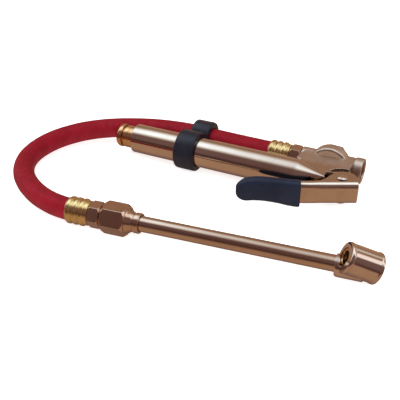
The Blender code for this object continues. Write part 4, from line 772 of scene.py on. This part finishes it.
coupling = hexagon("chuck_union", CHUCK, 0.0175, 0.0236, 0.0389, 0.0019)
combine(coupling, "UNION", lathe("cone", CHUCK, [
    (0.0377, 0.0080), (0.0392, 0.0078, 0.0004), (0.0406, 0.0068, 0.0010), (0.0425, 0.0058, 0.0012),
    (0.0434, 0.0057, 0.0003), (0.0437, 0.0062, 0.0003), (0.0471, 0.0062, 0.0007), (0.0471, 0.0052)]))
combine(coupling, "DIFFERENCE", drill(CHUCK, (0.0220, 0.0312, 0.0056), (0.0312, 0.0401, 0.0030),
                                      (0.0401, 0.0481, 0.00505), steps=SMALL))
place_piece(coupling, "tool_body", BRONZED, "bronzed", "chuck_coupling")

tube = lathe("chuck_pipe", CHUCK, [(0.0404, TUBE_RADIUS), (0.1622, TUBE_RADIUS)],
             [(0.0404, 0.0030), (0.1622, 0.0030)])
place_piece(tube, "tool_body", SHADED_TUBE_CHROME, "chrome", "chuck_tube")

foot_half = 0.0098
foot_lip = 0.0091
foot = lathe("chuck_foot", FOOT, [
    (-foot_half, 0.0056), (-foot_half, 0.0074, 0.0004), (-foot_half + 0.0004, 0.0090, 0.0009),
    (-foot_half + 0.0019, 0.0090, 0.0003), (-foot_half + 0.0022, 0.0088, 0.0003),
    (foot_half - 0.0019, 0.0088, 0.0002), (foot_half - 0.0016, foot_lip, 0.0003), (foot_half, foot_lip, 0.0006),
    (foot_half, 0.0070, 0.0003), (foot_half, 0.0056)])


def neck_ring(along, radius, drop):
    """A circle round the tube, lowered by drop."""
    return [(radius * math.cos(2 * math.pi * i / ROUND) + drop, radius * math.sin(2 * math.pi * i / ROUND), along)
            for i in range(ROUND)]


mouth_radius = TUBE_RADIUS + GAP + 0.0006
neck_end = NECK_START + 0.0150
neck_start = NECK_START + 0.0010
neck = [neck_ring(neck_start, mouth_radius - 0.0001, 0.0001)]
for k in range(9):
    turn = math.radians(90 * k / 8)
    neck.append(neck_ring(neck_start + 0.0016 * (1 - math.cos(turn)),
                          mouth_radius + (0.0064 - mouth_radius) * math.sin(turn),
                          0.0001 + 0.0008 * math.sin(turn)))
neck += [neck_ring(neck_end + 0.0012, 0.0064, 0.0009), neck_ring(neck_end + 0.0022, 0.0054, 0.0009)]
combine(foot, "UNION", skin("neck", neck, CHUCK))
combine(foot, "DIFFERENCE",
        drill(FOOT, (-foot_half - 0.001, -0.0026, 0.0054), (-0.0026, 0.0026, 0.0046),
              (0.0026, foot_half + 0.001, 0.0054)),
        drill(CHUCK, (NECK_START - 0.001, NECK_START + 0.0024, TUBE_RADIUS + GAP)),
        drill(CHUCK @ Matrix.Translation((0.00175, 0, 0)), (NECK_START + 0.0014, NECK_START + 0.0140, 0.0016),
              steps=32))
place_piece(foot, "tool_body", CHROME, "chrome", "chuck_head", angle=22)

for side, way in (("front", 1), ("rear", -1)):
    seat_low, seat_high = sorted((way * 0.0029, way * 0.0050))
    grommet = lathe(side + "_grommet", FOOT, [(seat_low, 0.0051), (seat_high, 0.0051)],
                    [(seat_low, 0.0023, 0.0003), (seat_low + 0.0004, 0.0019, 0.0004),
                     (seat_high - 0.0004, 0.0019, 0.0004), (seat_high, 0.0023, 0.0003)], steps=SMALL)
    place_piece(grommet, "tool_body", BLACK_RUBBER, "black_rubber", side + "_foot_seal")
    ring_low, ring_high = sorted((way * 0.0053, way * 0.0094))
    outer_line = [(ring_low, 0.0051), (ring_high, 0.0051)]
    if way > 0:
        inner_line = [(ring_low, 0.0043), (ring_high - 0.0012, 0.0043), (ring_high - 0.0006, 0.0037),
                      (ring_high, 0.0040)]
    else:
        inner_line = [(ring_low, 0.0040), (ring_low + 0.0006, 0.0037), (ring_low + 0.0012, 0.0043),
                      (ring_high, 0.0043)]
    retainer = lathe(side + "_ring", FOOT, outer_line, inner_line, steps=SMALL)
    place_piece(retainer, "tool_body", PLUG_BRASS, "brass", side + "_retainer")
shuttle = lathe("foot_pin", FOOT, [
    (-0.0058, 0.0001), (-0.0058, 0.0008, 0.0004), (-0.0051, 0.0013, 0.0004), (-0.0008, 0.0013),
    (-0.0008, 0.0038, 0.0002), (0.0008, 0.0038, 0.0002), (0.0008, 0.0013), (0.0051, 0.0013, 0.0004),
    (0.0058, 0.0008, 0.0004), (0.0058, 0.0001)], steps=SMALL)
place_piece(shuttle, "chuck_shuttle", STEEL, "steel", "foot_shuttle")

# ---------------------------------------------------------------- graduated bar


def graduated():
    """White nylon with a printed scale: a short stroke each step, a long one each fifth."""
    made, tree, shader = new_material("graduated nylon")
    axes = axes_of(tree, "Object")
    step = 0.0011
    along = math_node(tree, "ADD", axes["X"], 0.2)
    across = math_node(tree, "ABSOLUTE", math_node(tree, "SUBTRACT", axes["Y"], ASSEMBLY.translation.y))
    short = math_node(tree, "LESS_THAN", math_node(tree, "FRACT", math_node(tree, "DIVIDE", along, step)), 0.22)
    tall = math_node(tree, "LESS_THAN", math_node(tree, "FRACT", math_node(tree, "DIVIDE", along, step * 5)), 0.05)
    short = math_node(tree, "MULTIPLY", short, math_node(tree, "LESS_THAN", across, 0.0009))
    tall = math_node(tree, "MULTIPLY", tall, math_node(tree, "LESS_THAN", across, 0.0017))
    stroke = math_node(tree, "MAXIMUM", short, tall)
    cloud = span(tree, noise(tree, 160.0, 5.0), 0.3, 0.7)
    body = mix(tree, cloud, (0.80, 0.79, 0.74), (0.72, 0.70, 0.63))
    tree.links.new(mix(tree, stroke, body, (0.03, 0.03, 0.03)), shader.inputs["Base Color"])
    tree.links.new(span(tree, noise(tree, 500.0), 0.3, 0.7, 0.34, 0.50), shader.inputs["Roughness"])
    bump = tree.nodes.new("ShaderNodeBump")
    bump.inputs["Distance"].default_value = 0.00002
    tree.links.new(noise(tree, 1500.0), bump.inputs["Height"])
    tree.links.new(bump.outputs["Normal"], shader.inputs["Normal"])
    return made


place_piece(bar, "gauge_slider", graduated(), "white_nylon", "indicator_bar", angle=30)

# ---------------------------------------------------------------- springs, which the moving parts press together


def pressed_coil(name, node):
    """A copy of the coil's CAD mesh, finished in steel and put on the tool body in its place."""
    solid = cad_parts[node]
    coil = linked(name, solid.data.copy())
    coil.matrix_world = solid.matrix_world
    place_piece(coil, "tool_body", STEEL, "steel", node, angle=30)
    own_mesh(coil)


pressed_coil("gauge_coil", "gauge_spring")
pressed_coil("valve_coil", "valve_spring")

# ---------------------------------------------------------------- nodes kept from the solids

KEPT = {
    "gauge_tube": PLUG_BRASS,
    "gauge_gasket": BLACK_RUBBER,
    "gauge_piston": PLUG_BRASS,
    "piston_cup": BLACK_RUBBER,
    "stem_seal": BLACK_RUBBER,
    "valve_seal": BLACK_RUBBER,
}
for node, finish in KEPT.items():
    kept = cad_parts[node]
    kept.data.materials.clear()
    kept.data.materials.append(finish)

# ---------------------------------------------------------------- floor, sky and lights

floor_mesh = bpy.data.meshes.new("floor")
floor_mesh.from_pydata([(-4, -4, 0), (4, -4, 0), (4, 4, 0), (-4, 4, 0)], [], [(0, 1, 2, 3)])
floor = linked("floor", floor_mesh)
floor.location.z = CAD_BOX[0][2] - 0.0001
floor.visible_glossy = False
paper, paper_tree, paper_shader = new_material("white paper")
paper_shader.inputs["Base Color"].default_value = (0.80, 0.80, 0.80, 1.0)
paper_shader.inputs["Roughness"].default_value = 1.0
paper_shader.inputs["Specular IOR Level"].default_value = 0.0
paper_shader.inputs["Emission Color"].default_value = (1.0, 1.0, 1.0, 1.0)
paper_shader.inputs["Emission Strength"].default_value = 0.75
paper_bump = paper_tree.nodes.new("ShaderNodeBump")
paper_bump.inputs["Strength"].default_value = 0.02
paper_tree.links.new(noise(paper_tree, 40.0), paper_bump.inputs["Height"])
paper_tree.links.new(paper_bump.outputs["Normal"], paper_shader.inputs["Normal"])
floor_mesh.materials.append(paper)

# what polished metal sees: a tan table all round, a dark room behind the camera, dusk above that and a broad pale
# light overhead. Each ramp goes round the X axis in degrees, from the far side over the top to the near side. The
# first is for the left, the second for the gap between two lights, which is only in part dark, and the last for the
# right
TABLE = (0.52, 0.34, 0.22)
TABLE_FAR = (0.42, 0.27, 0.18)
PALE_LIGHT = (1.62, 2.02, 2.28)
WARM_LIGHT = (1.45, 1.45, 1.45)
SOFT_EDGE = (0.95, 1.02, 0.96)
DUSK = (0.22, 0.14, 0.13)
ROOM = (0.10, 0.050, 0.044)
SKY_SIDES = [
    (0, TABLE), (22, TABLE_FAR), (45, TABLE_FAR), (60, SOFT_EDGE), (76, PALE_LIGHT), (98, PALE_LIGHT),
    (108, SOFT_EDGE), (121, DUSK), (154, DUSK), (165, ROOM), (176, ROOM), (197, TABLE), (246, TABLE), (290, DUSK),
    (345, TABLE),
]
SKY_GAP = [
    (0, TABLE), (22, TABLE_FAR), (52, TABLE_FAR), (80, TABLE), (116, DUSK), (144, ROOM), (170, ROOM), (202, TABLE),
    (246, TABLE), (290, DUSK), (345, TABLE),
]
SKY_RIGHT = [
    (0, TABLE), (20, TABLE), (33, SOFT_EDGE), (42, SOFT_EDGE), (50, TABLE_FAR), (60, TABLE_FAR), (70, WARM_LIGHT),
    (92, WARM_LIGHT), (103, DUSK), (150, DUSK), (184, ROOM), (197, TABLE), (250, TABLE), (290, DUSK), (345, TABLE),
]
GAP_SHARE = 0.60
SKY_TOP = 3.0           # the ramps hold shares of it

world = bpy.data.worlds.new("studio")
scene.world = world
world.use_nodes = True
sky = world.node_tree
sky.nodes.clear()
sky_axes = axes_of(sky, "Generated")
turned_by = math_node(sky, "ARCTAN2", sky_axes["Z"], sky_axes["Y"])
turned_by = math_node(sky, "FRACT", math_node(sky, "DIVIDE", turned_by, 2 * math.pi))


def sky_ramp(colours):
    ramp = sky.nodes.new("ShaderNodeValToRGB")
    stops = ramp.color_ramp.elements
    while len(stops) > 1:
        stops.remove(stops[-1])
    for k, (angle, colour) in enumerate(colours + [(360, colours[0][1])]):
        stop = stops[0] if k == 0 else stops.new(angle / 360)
        stop.position = angle / 360
        stop.color = (*[part / SKY_TOP for part in colour], 1.0)
    sky.links.new(turned_by, ramp.inputs["Fac"])
    return ramp.outputs["Color"]


entering = span(sky, sky_axes["X"], -0.42, -0.16)
leaving = span(sky, sky_axes["X"], -0.10, 0.10, 1.0, 0.0)
gap = math_node(sky, "MULTIPLY", math_node(sky, "MULTIPLY", entering, leaving), GAP_SHARE)
reflected = mix(sky, gap, sky_ramp(SKY_SIDES), sky_ramp(SKY_GAP))
reflected = mix(sky, span(sky, sky_axes["X"], 0.32, 0.50), reflected, sky_ramp(SKY_RIGHT))


def background(strength, colour):
    made = sky.nodes.new("ShaderNodeBackground")
    made.inputs["Strength"].default_value = strength
    if isinstance(colour, tuple):
        made.inputs["Color"].default_value = (*colour, 1.0)
    else:
        sky.links.new(colour, made.inputs["Color"])
    return made.outputs["Background"]


def by_ray(kind, others, these):
    """One background for this kind of ray and another for the rest."""
    path = sky.nodes.new("ShaderNodeLightPath")
    made = sky.nodes.new("ShaderNodeMixShader")
    sky.links.new(path.outputs[kind], made.inputs["Fac"])
    sky.links.new(others, made.inputs[1])
    sky.links.new(these, made.inputs[2])
    return made.outputs["Shader"]


lit = by_ray("Is Glossy Ray", background(0.55, (1.0, 0.97, 0.94)), background(SKY_TOP, reflected))
out = sky.nodes.new("ShaderNodeOutputWorld")
sky.links.new(by_ray("Is Camera Ray", lit, background(1.0, (1.0, 1.0, 1.0))), out.inputs["Surface"])


def softbox(name, at, width, height, watts):
    """A soft light over the table that faces the middle of the object."""
    data = bpy.data.lights.new(name, "AREA")
    data.shape = "RECTANGLE"
    data.size = width
    data.size_y = height
    data.energy = watts
    data.color = (1.0, 0.98, 0.95)
    made = bpy.data.objects.new(name, data)
    made.location = at
    made.rotation_euler = (-Vector(at)).to_track_quat("-Z", "Y").to_euler()
    made.visible_glossy = False
    scene.collection.objects.link(made)


softbox("key", (-0.35, -0.25, 0.9), 0.8, 0.8, 7.0)
softbox("fill", (0.6, -0.6, 0.5), 0.8, 0.6, 3.0)
